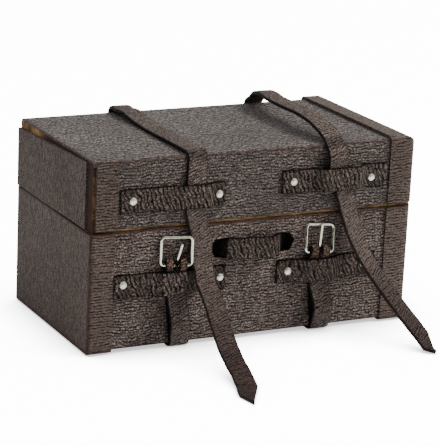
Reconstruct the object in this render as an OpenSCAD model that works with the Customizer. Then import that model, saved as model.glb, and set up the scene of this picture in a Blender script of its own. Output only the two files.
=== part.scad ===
// Small leather-covered travelling case with a hinged lid, two full belts,
// wire buckles and a loose strap handle. Millimetres, +Z up, front at -Y.
// The case rests on its belts, and the origin is the middle of the right belt's underside.

/* [Case] */
// Overall width over the end leathers
case_w = 61.3; // [57.3:0.5:70.3]
// Depth over the main covers, front to back
case_d = 32; // [28:0.1:36]
// Height of the base, from the underside of its cover to its rim
base_h = 20.3; // [19.5:0.1:24]
// Height of the lid, from its rim to the top of its cover
lid_h = 12; // [10.8:0.1:15]
// Gap between the two rims of the closed case
parting_gap = 0.15; // [0.1:0.05:0.3]
// Sideways set of the lid on the base
lid_shift = 0.1; // [0:0.05:0.5]
// Thickness of the boards
board_t = 1; // [0.8:0.1:1.4]
// Thickness of the covering leather
skin_t = 0.35; // [0.25:0.05:0.45]
// Thickness of the lining
lining_t = 0.2; // [0.1:0.05:0.3]
// Radius of the covers' long edges
edge_r = 0.6; // [0.4:0.05:0.8]
// Radius over the lid's right end
crown_r = 2.9; // [1.8:0.1:3]
// Radius of the two upright edges at the right end
right_r = 2.2; // [1.4:0.1:2.6]

/* [End leathers] */
// Width of the bands that return onto the faces at the left and the right end
band_w = [4.3, 5.5]; // [3:0.1:5.6]
// How much further the lid's right end leather stands off the top
cap_lift = 0.2; // [0:0.05:0.4]
// Bare board left showing along the lid's rim
rim_reveal = 0.4; // [0.2:0.05:0.8]
// Bare board over the lid's left end leather, at the front
left_drop_front = 0.55; // [0.4:0.05:1.2]
// Bare board over the lid's left end leather, at the back
left_drop_back = 1.6; // [1:0.1:2]
// Bare board beside the lid's left end leather
left_setback = 2.2; // [0.8:0.05:2.6]
// How much further the lid's left end leather stands out at the back
left_bulge = 0.7; // [0:0.05:0.8]
// Bare board in front of the lid, beside its left end bands
left_inset = 0.45; // [0.1:0.05:0.6]

/* [Belts] */
// Width of the belts
belt_w = 3.6; // [3:0.1:3.8]
// Thickness of the belts
belt_t = 0.6; // [0.5:0.05:0.7]
// Place of each belt under the base
belt_x = [-13.95, 12.95]; // [-14.5:0.05:13.5]
// Place of each belt on the lid
lid_belt_x = [-12, 14]; // [-12.5:0.05:14.5]
// Height of each belt's loose arch over the lid
arch_h = [0.95, 2.75]; // [0.8:0.05:3]
// How far each belt stands off under its lid keeper
slack = [0.03, 0.3]; // [0.03:0.01:0.5]
// Sideways slant of each belt under its lid keeper
lid_slant = [0, 2]; // [0:0.1:2.2]
// Turn of each belt about the upright under its lid keeper
lid_turn = [0, 8]; // [0:0.5:9]
// Reach of each tail's tip in front of the cover
tail_reach = [28.6, 17.1]; // [16.5:0.1:30]
// How far each tail's tip lies to the right of its belt
tail_drift = [-2.05, 12.35]; // [-3:0.05:12.5]

/* [Keepers] */
// Height of the keepers
keeper_h = 4.1; // [3.4:0.1:4.4]
// Thickness of the keepers
keeper_t = 0.5; // [0.4:0.05:0.6]
// Height of each lid keeper's middle over the lid's rim
lid_keeper_z = [5.1, 6.05]; // [4.8:0.05:6.2]
// Gap between each lid keeper's outer end and the end leather
lid_keeper_gap = [0.45, 0.7]; // [0.1:0.05:2]
// Inner end of each lid keeper, from the middle of the case
lid_keeper_inner = [-6.55, 4.15]; // [-7.5:0.05:5.5]
// Height of each base keeper's middle over the floor
base_keeper_z = [11.6, 11.3]; // [11:0.05:11.9]
// Gap between each base keeper's outer end and the end leather
base_keeper_gap = [0.1, 1.8]; // [0.1:0.05:2]
// Inner end of each base keeper, from the middle of the case
base_keeper_inner = [-5.65, 4.05]; // [-7.5:0.05:5.5]
// Run of a keeper's slope beside its belt
keeper_ramp = 2.4; // [1.5:0.1:2.8]
// Place of the base rivets from each keeper's left end
base_rivet_in = [1.6, 2.1]; // [1.2:0.1:2.6]
// Place of the base rivets from each keeper's right end
base_rivet_out = [1.2, 2.4]; // [1.1:0.1:2.6]
// How far the left rivet of each base keeper sits above its middle
rivet_lift = [0.35, 0]; // [-0.5:0.05:0.5]
// Place of the lid rivets from each keeper's left end
lid_rivet_in = [2.1, 2.1]; // [1.2:0.1:2.6]
// Place of the lid rivets from each keeper's right end
lid_rivet_out = [1.2, 3.1]; // [1.1:0.1:3.3]
// How far the right rivet of each lid keeper sits below its middle
rivet_drop = [0, 0.35]; // [-0.5:0.05:0.5]

/* [Rivets] */
// Diameter of the domed heads
rivet_head_d = 1.55; // [1.2:0.05:1.8]
// Height of the domed heads
rivet_head_h = 0.5; // [0.3:0.05:0.7]
// Diameter of the shanks
rivet_d = 0.7; // [0.5:0.05:0.9]
// Clearance round the shanks
rivet_clear = 0.05; // [0.02:0.01:0.08]

/* [Buckles] */
// Diameter of the buckle wire
wire_d = 0.55; // [0.45:0.01:0.6]
// Width of the buckles
buckle_w = 5.8; // [5.6:0.1:6.2]
// Height of the buckles
buckle_h = 5.3; // [5:0.1:6]
// Outer radius of the buckles' corners
buckle_r = 0.9; // [0.7:0.05:1]
// Middle of each buckle
buckle_x = [-15.52, 11.55]; // [-16:0.01:12]
// Height of each hinge bar over the floor
bar_z = [14.75, 14.5]; // [14.5:0.05:15]
// How far the hinge bars stand off the cover
bar_out = 1.3; // [1.2:0.05:1.6]
// Slope of each buckle towards the case
buckle_lean = [3, 9.5]; // [0:0.5:9.5]
// Turn of each buckle in its own plane
buckle_tilt = [0.5, 5]; // [0:0.5:6]
// How far each buckle's right side is turned out from the case
buckle_turn = [13.5, 0]; // [0:0.5:14]
// Diameter of the prongs
prong_d = 0.48; // [0.4:0.01:0.5]
// Length of each prong from the bar to its tip
prong_l = [3.9, 5.1]; // [3.6:0.05:5.2]
// Turn of each prong from the middle of its buckle
prong_turn = [13, 1]; // [0:0.5:15]
// Running clearance of the wire in its loop and eye
wire_clear = 0.05; // [0.03:0.01:0.08]
// Thickness of the leather loop round the bar
loop_t = 0.5; // [0.4:0.05:0.55]

/* [Handle] */
// Place of the handle's middle
handle_x = -0.65; // [-1.5:0.05:1]
// Height of the handle strap
handle_h = 3.8; // [3.2:0.1:4]
// Thickness of the handle strap
handle_t = 0.5; // [0.4:0.05:0.55]
// Distance between the points where the handle enters the case
handle_span = 10.5; // [9.5:0.1:11.5]
// How far the handle bows out in the middle
handle_bow = 1.5; // [1:0.1:2]
// Height of the handle's middle over the floor
handle_z = 16.45; // [16:0.05:17]
// Length of each pointed handle slot
slot_l = 3.45; // [3.2:0.05:3.7]
// Length of each glued tab inside
tab_l = 3; // [2:0.1:4]

/* [Hidden] */

LEFT = 0;
RIGHT = 1;
leather = "#43342e";
band_leather = "#4a3a31";
belt_leather = "#3d2e29";
chape_leather = "#5c3a2e";
card = "#b08a50";
paper = "#8a7a63";
steel = "#cfccc2";
eps = 0.01;

// Planes of the case: the cover's outer faces, the boards' faces and the rims
cover_y = case_d / 2;
board_y = cover_y - skin_t;
wall_y = board_y - board_t;
end_x = case_w / 2;
board_x = end_x - skin_t;
wall_x = board_x - board_t;
foot_z = belt_t;
rim_z = foot_z + base_h;
lid_z = rim_z + parting_gap;
top_z = lid_z + lid_h;
floor_z = foot_z + skin_t + board_t;
roof_z = top_z - skin_t - board_t;
hinge_z = rim_z + parting_gap / 2;
band_y = cover_y + skin_t;

// What lies outside the hinge line stops short of it by these gaps
band_hinge_gap = 1.3 * skin_t;
belt_hinge_gap = 1.32 * belt_t;

base_keeper_from = [band_w[LEFT] - end_x + base_keeper_gap[LEFT], base_keeper_inner[RIGHT]];
base_keeper_to = [base_keeper_inner[LEFT], end_x - band_w[RIGHT] - base_keeper_gap[RIGHT]];
lid_keeper_from = [band_w[LEFT] - board_x + lid_keeper_gap[LEFT], lid_keeper_inner[RIGHT]];
lid_keeper_to = [lid_keeper_inner[LEFT], end_x - band_w[RIGHT] - lid_keeper_gap[RIGHT]];
lid_keeper_low = [for (s = [LEFT, RIGHT]) lid_z + lid_keeper_z[s] - keeper_h / 2];
lid_keeper_high = [for (s = [LEFT, RIGHT]) lid_keeper_low[s] + keeper_h];
// Sideways run of each belt for each millimetre down, at the fold under its lid keeper
fold_slope = [0, 0.3];
// Gap across each fold, and the drop that keeps its slanted edge clear of the lid keeper
fold_gap = 0.1;
fold_drop = [for (s = [LEFT, RIGHT]) belt_w / 2 * fold_slope[s] / norm([1, fold_slope[s]])];
loop_bore_r = wire_d / 2 + wire_clear;
loop_r = loop_bore_r + loop_t;
eye_r = loop_bore_r + prong_d;
tongue_h = handle_h - 0.9;
rivet_depth = skin_t + 0.8 * board_t;
base_rivets_at = [for (s = [LEFT, RIGHT])
    [[base_keeper_from[s] + base_rivet_in[s], base_keeper_z[s] + rivet_lift[s]],
        [base_keeper_to[s] - base_rivet_out[s], base_keeper_z[s]]]];
lid_rivets_at = [for (s = [LEFT, RIGHT])
    [[lid_keeper_from[s] + lid_rivet_in[s], lid_z + lid_keeper_z[s]],
        [lid_keeper_to[s] - lid_rivet_out[s], lid_z + lid_keeper_z[s] - rivet_drop[s]]]];

// Slant of each belt between the case's bottom edge and its buckle
belt_slant = [for (s = [LEFT, RIGHT]) atan2(buckle_x[s] - belt_x[s], bar_z[s] - foot_z)];

function smooth(t) = let (c = min(max(t, 0), 1)) c * c * (3 - 2 * c);
function unit(v) = v / norm(v);
function mix(a, b, t) = a + (b - a) * t;

// Length of a step in space, where a station may also hold a turn and widths
function reach(step) = norm([step[0], step[1], len(step) > 2 ? step[2] : 0]);

// Slope of the smooth curve at a station, weighted towards its nearer neighbour
function slope(before, here, after) =
    let (u = reach(here - before), v = reach(after - here))
    u == 0 ? (after - here) / v
    : v == 0 ? (here - before) / u
    : ((here - before) * v / u + (after - here) * u / v) / (u + v);

// One point of the smooth curve between two stations with known slopes
function bend(b, c, from, to, t) =
    let (l = reach(c - b), s = t * t * (3 - 2 * t))
    b + (c - b) * s + (from * (t * (1 - t) * (1 - t)) - to * (t * t * (1 - t))) * l;

// The smooth curve through all stations, with steps points for each stretch
function curve(p, steps) =
    let (
        n = len(p),
        slopes = [for (i = [0 : n - 1]) slope(p[max(i - 1, 0)], p[i], p[min(i + 1, n - 1)])])
    [for (i = [0 : n - 2], k = [0 : steps - 1])
        bend(p[i], p[i + 1], slopes[i], slopes[i + 1], k / steps),
     p[n - 1]];

// Outline of a flat strip that follows a plane curve
function strip_outline(p, t) =
    let (
        n = len(p),
        side = [for (i = [0 : n - 1])
            let (d = unit(p[min(i + 1, n - 1)] - p[max(i - 1, 0)])) [-d[1], d[0]] * t / 2])
    concat([for (i = [0 : n - 1]) p[i] + side[i]], [for (i = [n - 1 : -1 : 0]) p[i] - side[i]]);

// Extrudes a drawing of depth and height along X
module along_x(length) {
    rotate([90, 0, 90])
        linear_extrude(length, center = true)
            children();
}

// Extrudes a drawing of width and height along Y
module along_y(length) {
    rotate([90, 0, 0])
        linear_extrude(length, center = true)
            children();
}

// A block between two corners
module block(from, to) {
    translate(from)
        cube(to - from);
}

// A rectangle between two corners, with round corners
module round_rect(from, to, r) {
    translate(from + [r, 0])
        square(to - from - [2 * r, 0]);
    translate(from + [0, r])
        square(to - from - [0, 2 * r]);
    for (x = [from[0] + r, to[0] - r], y = [from[1] + r, to[1] - r])
        translate([x, y])
            circle(r, $fn = 32);
}

// A leather strip swept through stations of [x, y, z, turn, half to the left, half to the right]
module ribbon(stations, t, steps = 3) {
    p = curve([for (a = stations) [a[0], a[1], a[2], a[3]]], steps);
    n = len(p);
    halves = [for (i = [0 : n - 1])
        let (j = min(floor(i / steps), len(stations) - 2), a = stations[j], b = stations[j + 1])
        mix([a[4], a[5]], [b[4], b[5]], i / steps - j)];
    rings = [for (i = [0 : n - 1])
        let (
            here = [p[i][0], p[i][1], p[i][2]],
            ahead = p[min(i + 1, n - 1)] - p[max(i - 1, 0)],
            run = unit([ahead[0], ahead[1], ahead[2]]),
            level = [cos(p[i][3]), sin(p[i][3]), 0],
            across = unit(level - run * (run * level)),
            up = cross(run, across) * t / 2)
        each [here + across * halves[i][1] + up, here - across * halves[i][0] + up,
            here - across * halves[i][0] - up, here + across * halves[i][1] - up]];
    sides = [for (i = [0 : n - 2], j = [0 : 3])
        let (a = 4 * i + j, b = 4 * i + (j + 1) % 4)
        each [[a, a + 4, b + 4], [a, b + 4, b]]];
    last = 4 * (n - 1);
    ends = [[0, 1, 2], [0, 2, 3], [last + 2, last + 1, last], [last + 3, last + 2, last]];
    polyhedron(rings, concat(sides, ends));
}

// Keeps what lies inside the rounded upright edges of the right end, under its leather
module inside_right_end() {
    r = right_r - skin_t;
    intersection() {
        children();
        linear_extrude(2 * top_z) {
            round_rect([0, -cover_y], [board_x, cover_y], r);
            translate([-case_w, -cover_y])
                square([case_w + board_x - r, 2 * cover_y]);
        }
    }
}

// The handle's pointed slots, drawn from the front
module handle_slots_2d() {
    reach = handle_span / 2 - 0.7;
    half = tongue_h / 2 + 0.15;
    for (side = [-1, 1])
        translate([handle_x, handle_z])
            polygon([[side * reach, -half - 0.25], [side * (reach + slot_l * 0.75), -half],
                [side * (reach + slot_l), 0.3], [side * (reach + slot_l * 0.75), half],
                [side * reach, half + 0.25]]);
}

module handle_slots() {
    translate([0, -wall_y - skin_t, 0])
        along_y(4 * (board_t + skin_t))
            handle_slots_2d();
}

// Places a keeper's children at its two rivets
module at_rivets(places) {
    for (xz = places)
        translate([xz[0], -cover_y, xz[1]])
            rotate([90, 0, 0])
                children();
}

module at_base_rivets(s) {
    at_rivets(base_rivets_at[s])
        children();
}

module at_lid_rivets(s) {
    translate([lid_shift, 0, 0])
        at_rivets(lid_rivets_at[s])
            children();
}

module rivet_bore() {
    translate([0, 0, -rivet_depth - eps])
        cylinder(h = rivet_depth + 2 * keeper_t, r = rivet_d / 2 + rivet_clear, $fn = 32);
}

module rivet() {
    cap_r = (rivet_head_h * rivet_head_h + rivet_head_d * rivet_head_d / 4) / (2 * rivet_head_h);
    translate([0, 0, keeper_t])
        intersection() {
            translate([0, 0, rivet_head_h - cap_r])
                sphere(cap_r, $fn = 48);
            cylinder(h = rivet_head_h * 2, d = rivet_head_d * 1.2, $fn = 48);
        }
    translate([0, 0, -rivet_depth])
        cylinder(h = rivet_depth + keeper_t + rivet_head_h / 2, d = rivet_d, $fn = 32);
}

module base_bottom_board() {
    color(card)
        inside_right_end()
            block([-board_x, -board_y, foot_z + skin_t], [board_x, board_y, floor_z]);
}

module base_front_board() {
    color(card)
        difference() {
            inside_right_end()
                block([-board_x, -board_y, floor_z], [board_x, -wall_y, rim_z]);
            handle_slots();
            for (s = [LEFT, RIGHT])
                at_base_rivets(s)
                    rivet_bore();
        }
}

module base_back_board() {
    color(card)
        inside_right_end()
            block([-board_x, wall_y, floor_z], [board_x, board_y, rim_z]);
}

module base_end_board(side) {
    color(card)
        inside_right_end()
            translate([side * (wall_x + board_t / 2), 0, (floor_z + rim_z) / 2])
                cube([board_t, 2 * wall_y, rim_z - floor_z], center = true);
}

module base_cover() {
    color(leather)
        difference() {
            inside_right_end()
                along_x(2 * board_x)
                    difference() {
                        round_rect([-cover_y, foot_z], [cover_y, rim_z + edge_r], edge_r);
                        translate([-board_y, foot_z + skin_t])
                            square([2 * board_y, base_h + edge_r]);
                        translate([-band_y, rim_z])
                            square([2 * band_y, 2 * edge_r]);
                    }
            handle_slots();
            for (s = [LEFT, RIGHT])
                at_base_rivets(s)
                    rivet_bore();
        }
}

// Moves the case so that the middle of the right belt's underside is at the origin
module placed() {
    translate([-belt_x[RIGHT], 0, 0])
        children();
}

// Space kept free outside the hinge line
module hinge_relief(gap) {
    block([-case_w, cover_y, hinge_z - gap], [case_w, case_d, hinge_z + gap]);
}

// End leather of the base: the end sheet and its returns onto front, bottom and back
module base_cap(s) {
    side = s == LEFT ? -1 : 1;
    color(band_leather)
        difference() {
            intersection() {
                translate([0, 0, foot_z - skin_t])
                    linear_extrude(rim_z - foot_z + skin_t)
                        round_rect([-end_x, -band_y], [end_x, band_y], s == LEFT ? edge_r : right_r);
                along_x(case_w)
                    round_rect([-band_y, foot_z - skin_t], [band_y, rim_z + 2 * edge_r], edge_r);
                translate([side * (end_x - band_w[s] / 2), 0, rim_z / 2])
                    cube([band_w[s], 2 * case_d, 2 * rim_z], center = true);
            }
            inside_right_end()
                block([-board_x, -cover_y, foot_z], [board_x, cover_y, rim_z + eps]);
            hinge_relief(band_hinge_gap);
        }
}

module base_lining() {
    color(paper)
        difference() {
            block([-wall_x, -wall_y, floor_z], [wall_x, wall_y, rim_z]);
            block([lining_t - wall_x, lining_t - wall_y, floor_z + lining_t],
                [wall_x - lining_t, wall_y - lining_t, rim_z + eps]);
            handle_slots();
        }
}

// The lid's cross-section from the front, with the round edge over its right end
module lid_outline(half_w, low, high, r) {
    translate([-half_w, low])
        square([2 * half_w - r, high - low]);
    translate([-half_w, low])
        square([2 * half_w, high - low - r]);
    translate([half_w - r, high - r])
        circle(r, $fn = 64);
}

module lid_board_limit() {
    along_y(2 * board_y)
        lid_outline(board_x, lid_z, top_z - skin_t, crown_r - skin_t);
}

module lid_top_board() {
    color(card)
        translate([lid_shift, 0, 0])
            intersection() {
                lid_board_limit();
                inside_right_end()
                    block([-board_x, -board_y, roof_z], [board_x, board_y, top_z - skin_t]);
            }
}

module lid_front_board() {
    color(card)
        difference() {
            translate([lid_shift, 0, 0])
                intersection() {
                    lid_board_limit();
                    inside_right_end()
                        block([-board_x, -board_y, lid_z], [board_x, -wall_y, roof_z]);
                }
            for (s = [LEFT, RIGHT])
                at_lid_rivets(s)
                    rivet_bore();
        }
}

module lid_back_board() {
    color(card)
        translate([lid_shift, 0, 0])
            intersection() {
                lid_board_limit();
                inside_right_end()
                    block([-board_x, wall_y, lid_z], [board_x, board_y, roof_z]);
            }
}

module lid_end_board(side) {
    color(card)
        translate([lid_shift, 0, 0])
            intersection() {
                lid_board_limit();
                inside_right_end()
                    translate([side * (wall_x + board_t / 2), 0, (lid_z + roof_z) / 2])
                        cube([board_t, 2 * wall_y, roof_z - lid_z], center = true);
            }
}

// Main leather of the lid, which stops above the front rim and beside the front's left edge
module lid_cover() {
    color(leather)
        difference() {
            translate([lid_shift, 0, 0])
                difference() {
                    intersection() {
                        along_x(2 * end_x)
                            round_rect([-cover_y, lid_z - edge_r], [cover_y, top_z], edge_r);
                        along_y(2 * case_d)
                            lid_outline(end_x - skin_t, -lid_z, top_z, crown_r - skin_t);
                        inside_right_end()
                            block([-end_x, -case_d, lid_z], [board_x, case_d, 2 * top_z]);
                    }
                    block([-2 * board_x, -board_y, 0], [2 * board_x, board_y, top_z - skin_t]);
                    block([-2 * board_x, -case_d, 0], [2 * board_x, 0, lid_z + rim_reveal]);
                    block([-2 * board_x, -case_d, 0],
                        [left_inset - board_x, -board_y, top_z - edge_r - skin_t]);
                }
            for (s = [LEFT, RIGHT])
                at_lid_rivets(s)
                    rivet_bore();
        }
}

// Flat leather on the lid's left end, cut short so that bare board shows round it
module lid_left_panel() {
    front = left_setback - board_y;
    low = lid_z + rim_reveal / 2;
    color(band_leather)
        translate([lid_shift - board_x, 0, 0])
            intersection() {
                translate([0, 0, low])
                    linear_extrude(lid_h)
                        polygon([[0, front], [-skin_t, front], [-skin_t - 0.3 * left_bulge, 0.3 * front],
                            [-skin_t - left_bulge, 0.6 * board_y], [-skin_t - left_bulge, board_y],
                            [0, board_y]]);
                along_x(4 * skin_t)
                    polygon([[front, low], [board_y, low], [board_y, top_z - left_drop_back],
                        [front, top_z - left_drop_front]]);
            }
}

module lid_left_bands() {
    color(band_leather)
        translate([lid_shift, 0, 0])
            difference() {
                for (side = [-1, 1])
                    translate([0, side * (cover_y + skin_t / 2), (lid_z + top_z) / 2])
                        translate([(band_w[LEFT] + left_inset) / 2 - board_x, 0, 0])
                            cube([band_w[LEFT] - left_inset, skin_t, lid_h - 2 * rim_reveal],
                                center = true);
                hinge_relief(band_hinge_gap);
            }
}

// End leather of the lid's right end, with its returns onto front, top and back
module lid_right_cap() {
    color(band_leather)
        translate([lid_shift, 0, 0])
            difference() {
                intersection() {
                    along_y(2 * band_y)
                        lid_outline(end_x, lid_z + rim_reveal, top_z + skin_t + cap_lift, crown_r);
                    translate([0, 0, lid_z])
                        linear_extrude(2 * lid_h)
                            round_rect([-end_x, -band_y], [end_x, band_y], right_r);
                    along_x(2 * case_w)
                        round_rect([-band_y, 0], [band_y, top_z + skin_t + cap_lift], edge_r + skin_t);
                    block([end_x - band_w[RIGHT], -case_d, 0], [end_x, case_d, 2 * top_z]);
                }
                inside_right_end()
                    along_y(2 * cover_y)
                        lid_outline(board_x, 0, top_z, crown_r - skin_t);
                hinge_relief(band_hinge_gap);
            }
}

module lid_lining() {
    color(paper)
        translate([lid_shift, 0, 0])
            difference() {
                block([-wall_x, -wall_y, lid_z], [wall_x, wall_y, roof_z]);
                block([lining_t - wall_x, lining_t - wall_y, lid_z - eps],
                    [wall_x - lining_t, wall_y - lining_t, roof_z - lining_t]);
            }
}

// Loose strap that enters the case through two slots and is glued down inside
module handle() {
    half = handle_span / 2;
    inner = -(skin_t + board_t + lining_t + handle_t / 2);
    route = [[-half - tab_l, inner], [-half - 1.9, inner], [-half - 1.15, inner + 0.25],
        [-half - 0.35, -0.55], [-half + 0.4, 0.3], [-half + 2, 0.95], [0, handle_bow - 0.1],
        [half - 2.6, handle_bow + 0.15], [half - 1.1, 0.95], [half - 0.3, 0.05],
        [half + 0.35, -0.75], [half + 1.15, inner + 0.25], [half + 1.9, inner],
        [half + tab_l, inner]];
    color(belt_leather)
        translate([handle_x, -cover_y, handle_z])
            intersection() {
                linear_extrude(handle_h, center = true)
                    scale([1, -1])
                        polygon(strip_outline(curve(route, 4), handle_t));
                along_y(case_d)
                    polygon([[-half - tab_l, -tongue_h / 2], [-half, -tongue_h / 2],
                        [-half + 0.7, -handle_h / 2], [half - 0.7, -handle_h / 2],
                        [half, -tongue_h / 2], [half + tab_l, -tongue_h / 2],
                        [half + tab_l, tongue_h / 2], [half, tongue_h / 2],
                        [half - 0.7, handle_h / 2], [-half + 0.7, handle_h / 2],
                        [-half, tongue_h / 2], [-half - tab_l, tongue_h / 2]]);
            }
}

// Height of a keeper's inner face over the cover at x, where its belt lies between from and to.
// The slopes end short of the rivet heads
function keeper_rise(x, from, to, places, rise) =
    let (
        flat = rivet_head_d / 2 + 0.1,
        left = min(keeper_ramp, from - places[0][0] - flat),
        right = min(keeper_ramp, places[1][0] - flat - to))
    rise * smooth((x - from) / left + 1) * smooth((to - x) / right + 1);

// A strip that bridges a belt and is flat at both riveted ends
module keeper(from, to, places, z, belt_from, belt_to, rise) {
    count = 48;
    step = (to - from) / count;
    inner = [for (i = [0 : count])
        let (x = from + i * step) [x, -keeper_rise(x, belt_from, belt_to, places, rise)]];
    outer = [for (i = [count : -1 : 0]) inner[i] - [0, keeper_t]];
    color(belt_leather)
        difference() {
            translate([0, -cover_y, z])
                linear_extrude(keeper_h, center = true)
                    polygon(concat(inner, outer));
            at_rivets(places)
                rivet_bore();
        }
}

module base_keeper(s) {
    middle = belt_x[s] + (base_keeper_z[s] - foot_z) * tan(belt_slant[s]);
    keeper(base_keeper_from[s], base_keeper_to[s], base_rivets_at[s], base_keeper_z[s],
        middle - belt_w / 2 - 0.4, middle + belt_w / 2 + 0.4, belt_t + loop_t + 0.16);
}

module lid_keeper(s) {
    translate([lid_shift, 0, 0])
        keeper(lid_keeper_from[s], lid_keeper_to[s], lid_rivets_at[s], lid_z + lid_keeper_z[s],
            lid_belt_x[s] - belt_w / 2 - 0.25, lid_belt_x[s] + lid_slant[s] + belt_w / 2 + 0.25,
            belt_t + slack[s] + belt_w / 2 * sin(lid_turn[s]) + 0.12);
}

module base_rivets(s) {
    color(steel)
        at_base_rivets(s)
            rivet();
}

module lid_rivets(s) {
    color(steel)
        at_lid_rivets(s)
            rivet();
}

// Moves children from the middle of a buckle's bar to the case, tilted with the buckle
module at_bar(s) {
    translate([buckle_x[s], -cover_y - bar_out, bar_z[s]])
        rotate([0, buckle_tilt[s], 0])
            children();
}

// The same for what also turns with the bar
module on_bar(s) {
    at_bar(s)
        rotate([0, 0, -buckle_turn[s]])
            children();
}

// Stations of the belt from its chape down the front, under the base and up the back
function lower_stations(s) =
    let (
        half = belt_w / 2,
        off = belt_t / 2,
        r = edge_r + off,
        bend_y = cover_y - edge_r,
        bend_z = foot_z + edge_r,
        end = bar_z[s] - loop_r - 0.05,
        drop = end - foot_z,
        low = belt_x[s],
        slope = tan(belt_slant[s]))
    concat(
        [for (f = [1, 0.85, 0.7, 0.5, 0.3, 0.15])
            [low + slope * f * drop, -cover_y - off - 0.25 * sin(180 * min(f / 0.8, 1)) - 0.02,
                foot_z + f * drop, 0, half, half]],
        [for (a = [0 : 15 : 90])
            [low, -bend_y - r * cos(a), bend_z - r * sin(a), 0, half, half]],
        [for (a = [90 : -15 : 0])
            [low, bend_y + r * cos(a), bend_z - r * sin(a), 0, half, half]],
        [for (f = [0.35, 0.7, 1])
            [low, cover_y + off, mix(bend_z, hinge_z - belt_hinge_gap, f), 0, half, half]]);

module lower_belt(s) {
    color(belt_leather)
        ribbon(lower_stations(s), belt_t, 1);
}

// Leather loop round a buckle's bar, slotted for the prong, with its tab under the keeper
module chape(s) {
    slot = prong_d + 0.16 + 2 * loop_r * sin(prong_turn[s]);
    tab_in = bar_out - belt_t - 0.06 - loop_t / 2;
    tab = [[tab_in - 0.12, -0.45], [tab_in, -0.9], [tab_in, -1.5], [tab_in, -2.3]];
    color(chape_leather)
        difference() {
            union() {
                on_bar(s)
                    rotate([0, 90, 0])
                        cylinder(h = belt_w, r = loop_r, center = true, $fn = 48);
                at_bar(s)
                    along_x(belt_w)
                        polygon(strip_outline(tab, loop_t));
            }
            on_bar(s)
                rotate([0, 90, 0]) {
                    cylinder(h = 2 * belt_w, r = loop_bore_r, center = true, $fn = 48);
                    cylinder(h = slot, r = eye_r + 0.06, center = true, $fn = 48);
                }
        }
}

// Stations of the belt over the lid, from above the hinge to under the lid keeper
function upper_stations(s) =
    let (
        x = lid_belt_x[s] + lid_shift,
        dx = belt_x[s] - x,
        half = belt_w / 2,
        off = belt_t / 2 + 0.02,
        back = cover_y + off,
        crest = top_z + off + arch_h[s],
        start = hinge_z + belt_hinge_gap,
        low = lid_keeper_low[s],
        high = lid_keeper_high[s],
        slant = lid_slant[s],
        turn = lid_turn[s],
        front = -cover_y - slack[s] - belt_t / 2)
    s == LEFT
    ? [[x + dx, back, start, 0, half, half],
        [x + 0.6 * dx, back + 0.05, (start + top_z) / 2, 0, half, half],
        [x, back + 0.06, top_z - 1.7, 0, half, half],
        [x, back + 0.08, top_z - 0.6, 0, half, half],
        [x, back - 0.5, top_z + 0.7, 0, half, half],
        [x, cover_y - 2.5, crest - 0.3 * arch_h[s], 0, half, half],
        [x, cover_y - 5.6, crest, 0, half, half],
        [x, cover_y - 8.8, crest - 0.65 * arch_h[s], 0, half, half],
        [x, cover_y - 11.2, top_z + off + 0.12, 0, half, half],
        [x, cover_y - 14.5, top_z + off + 0.02, 0, half, half],
        [x, -cover_y + 7, top_z + off + 0.1, 0, half, half],
        [x, -cover_y + 2, top_z + off + 0.1, 0, half, half],
        [x, -cover_y + 0.3, top_z + off, 0, half, half],
        [x, -cover_y - 0.38, top_z - 0.32, 0, half, half],
        [x, -cover_y - off - 0.04, top_z - 1.2, 0, half, half],
        [x, front, high, 0, half, half],
        [x, front, low, 0, half, half]]
    : [[x + dx, back, start, 0, half, half],
        [x + 0.4 * dx, back + 0.08, (start + top_z) / 2, 0, half, half],
        [x + 0.5, back + 0.08, top_z - 1.5, 0, half, half],
        [x + 0.6, back + 0.08, top_z - 0.5, 0, half, half],
        [x + 0.6, back - 0.4, top_z + 0.45, 0, half, half],
        [x + 0.55, cover_y - 1.4, top_z + 1.2, 0, half, half],
        [x + 0.45, cover_y - 2.3, crest - 1.2, 0, half, half],
        [x + 0.35, cover_y - 3.7, crest - 0.4, 0, half, half],
        [x + 0.2, cover_y - 6, crest, 0, half, half],
        [x, cover_y - 10, crest - 0.1, 0, half, half],
        [x, 0, crest - 0.2, 0, half, half],
        [x, -cover_y + 9, crest - 0.25, 0, half, half],
        [x, -cover_y + 5.2, crest - 0.8, 0, half, half],
        [x, -cover_y + 2.2, top_z + 1.35, 0, half, half],
        [x, -cover_y + 0.5, top_z + off + 0.2, 0, half, half],
        [x, -cover_y - 0.75, top_z - 0.5, 0, half, half],
        [x + 0.05 * slant, front - 0.75, top_z - 2, 0.4 * turn, half, half],
        [x + 0.15 * slant, front - 0.35, high + 0.3, 0.8 * turn, half, half],
        [x + 0.35 * slant, front, high - 0.7, turn, half, half],
        [x + slant - 0.5 * fold_slope[s], front, low + 0.5, turn, half, half],
        [x + slant + fold_drop[s] * fold_slope[s], front, low - fold_drop[s], turn, half, half]];

module upper_belt(s) {
    color(belt_leather)
        ribbon(upper_stations(s), belt_t);
}

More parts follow.
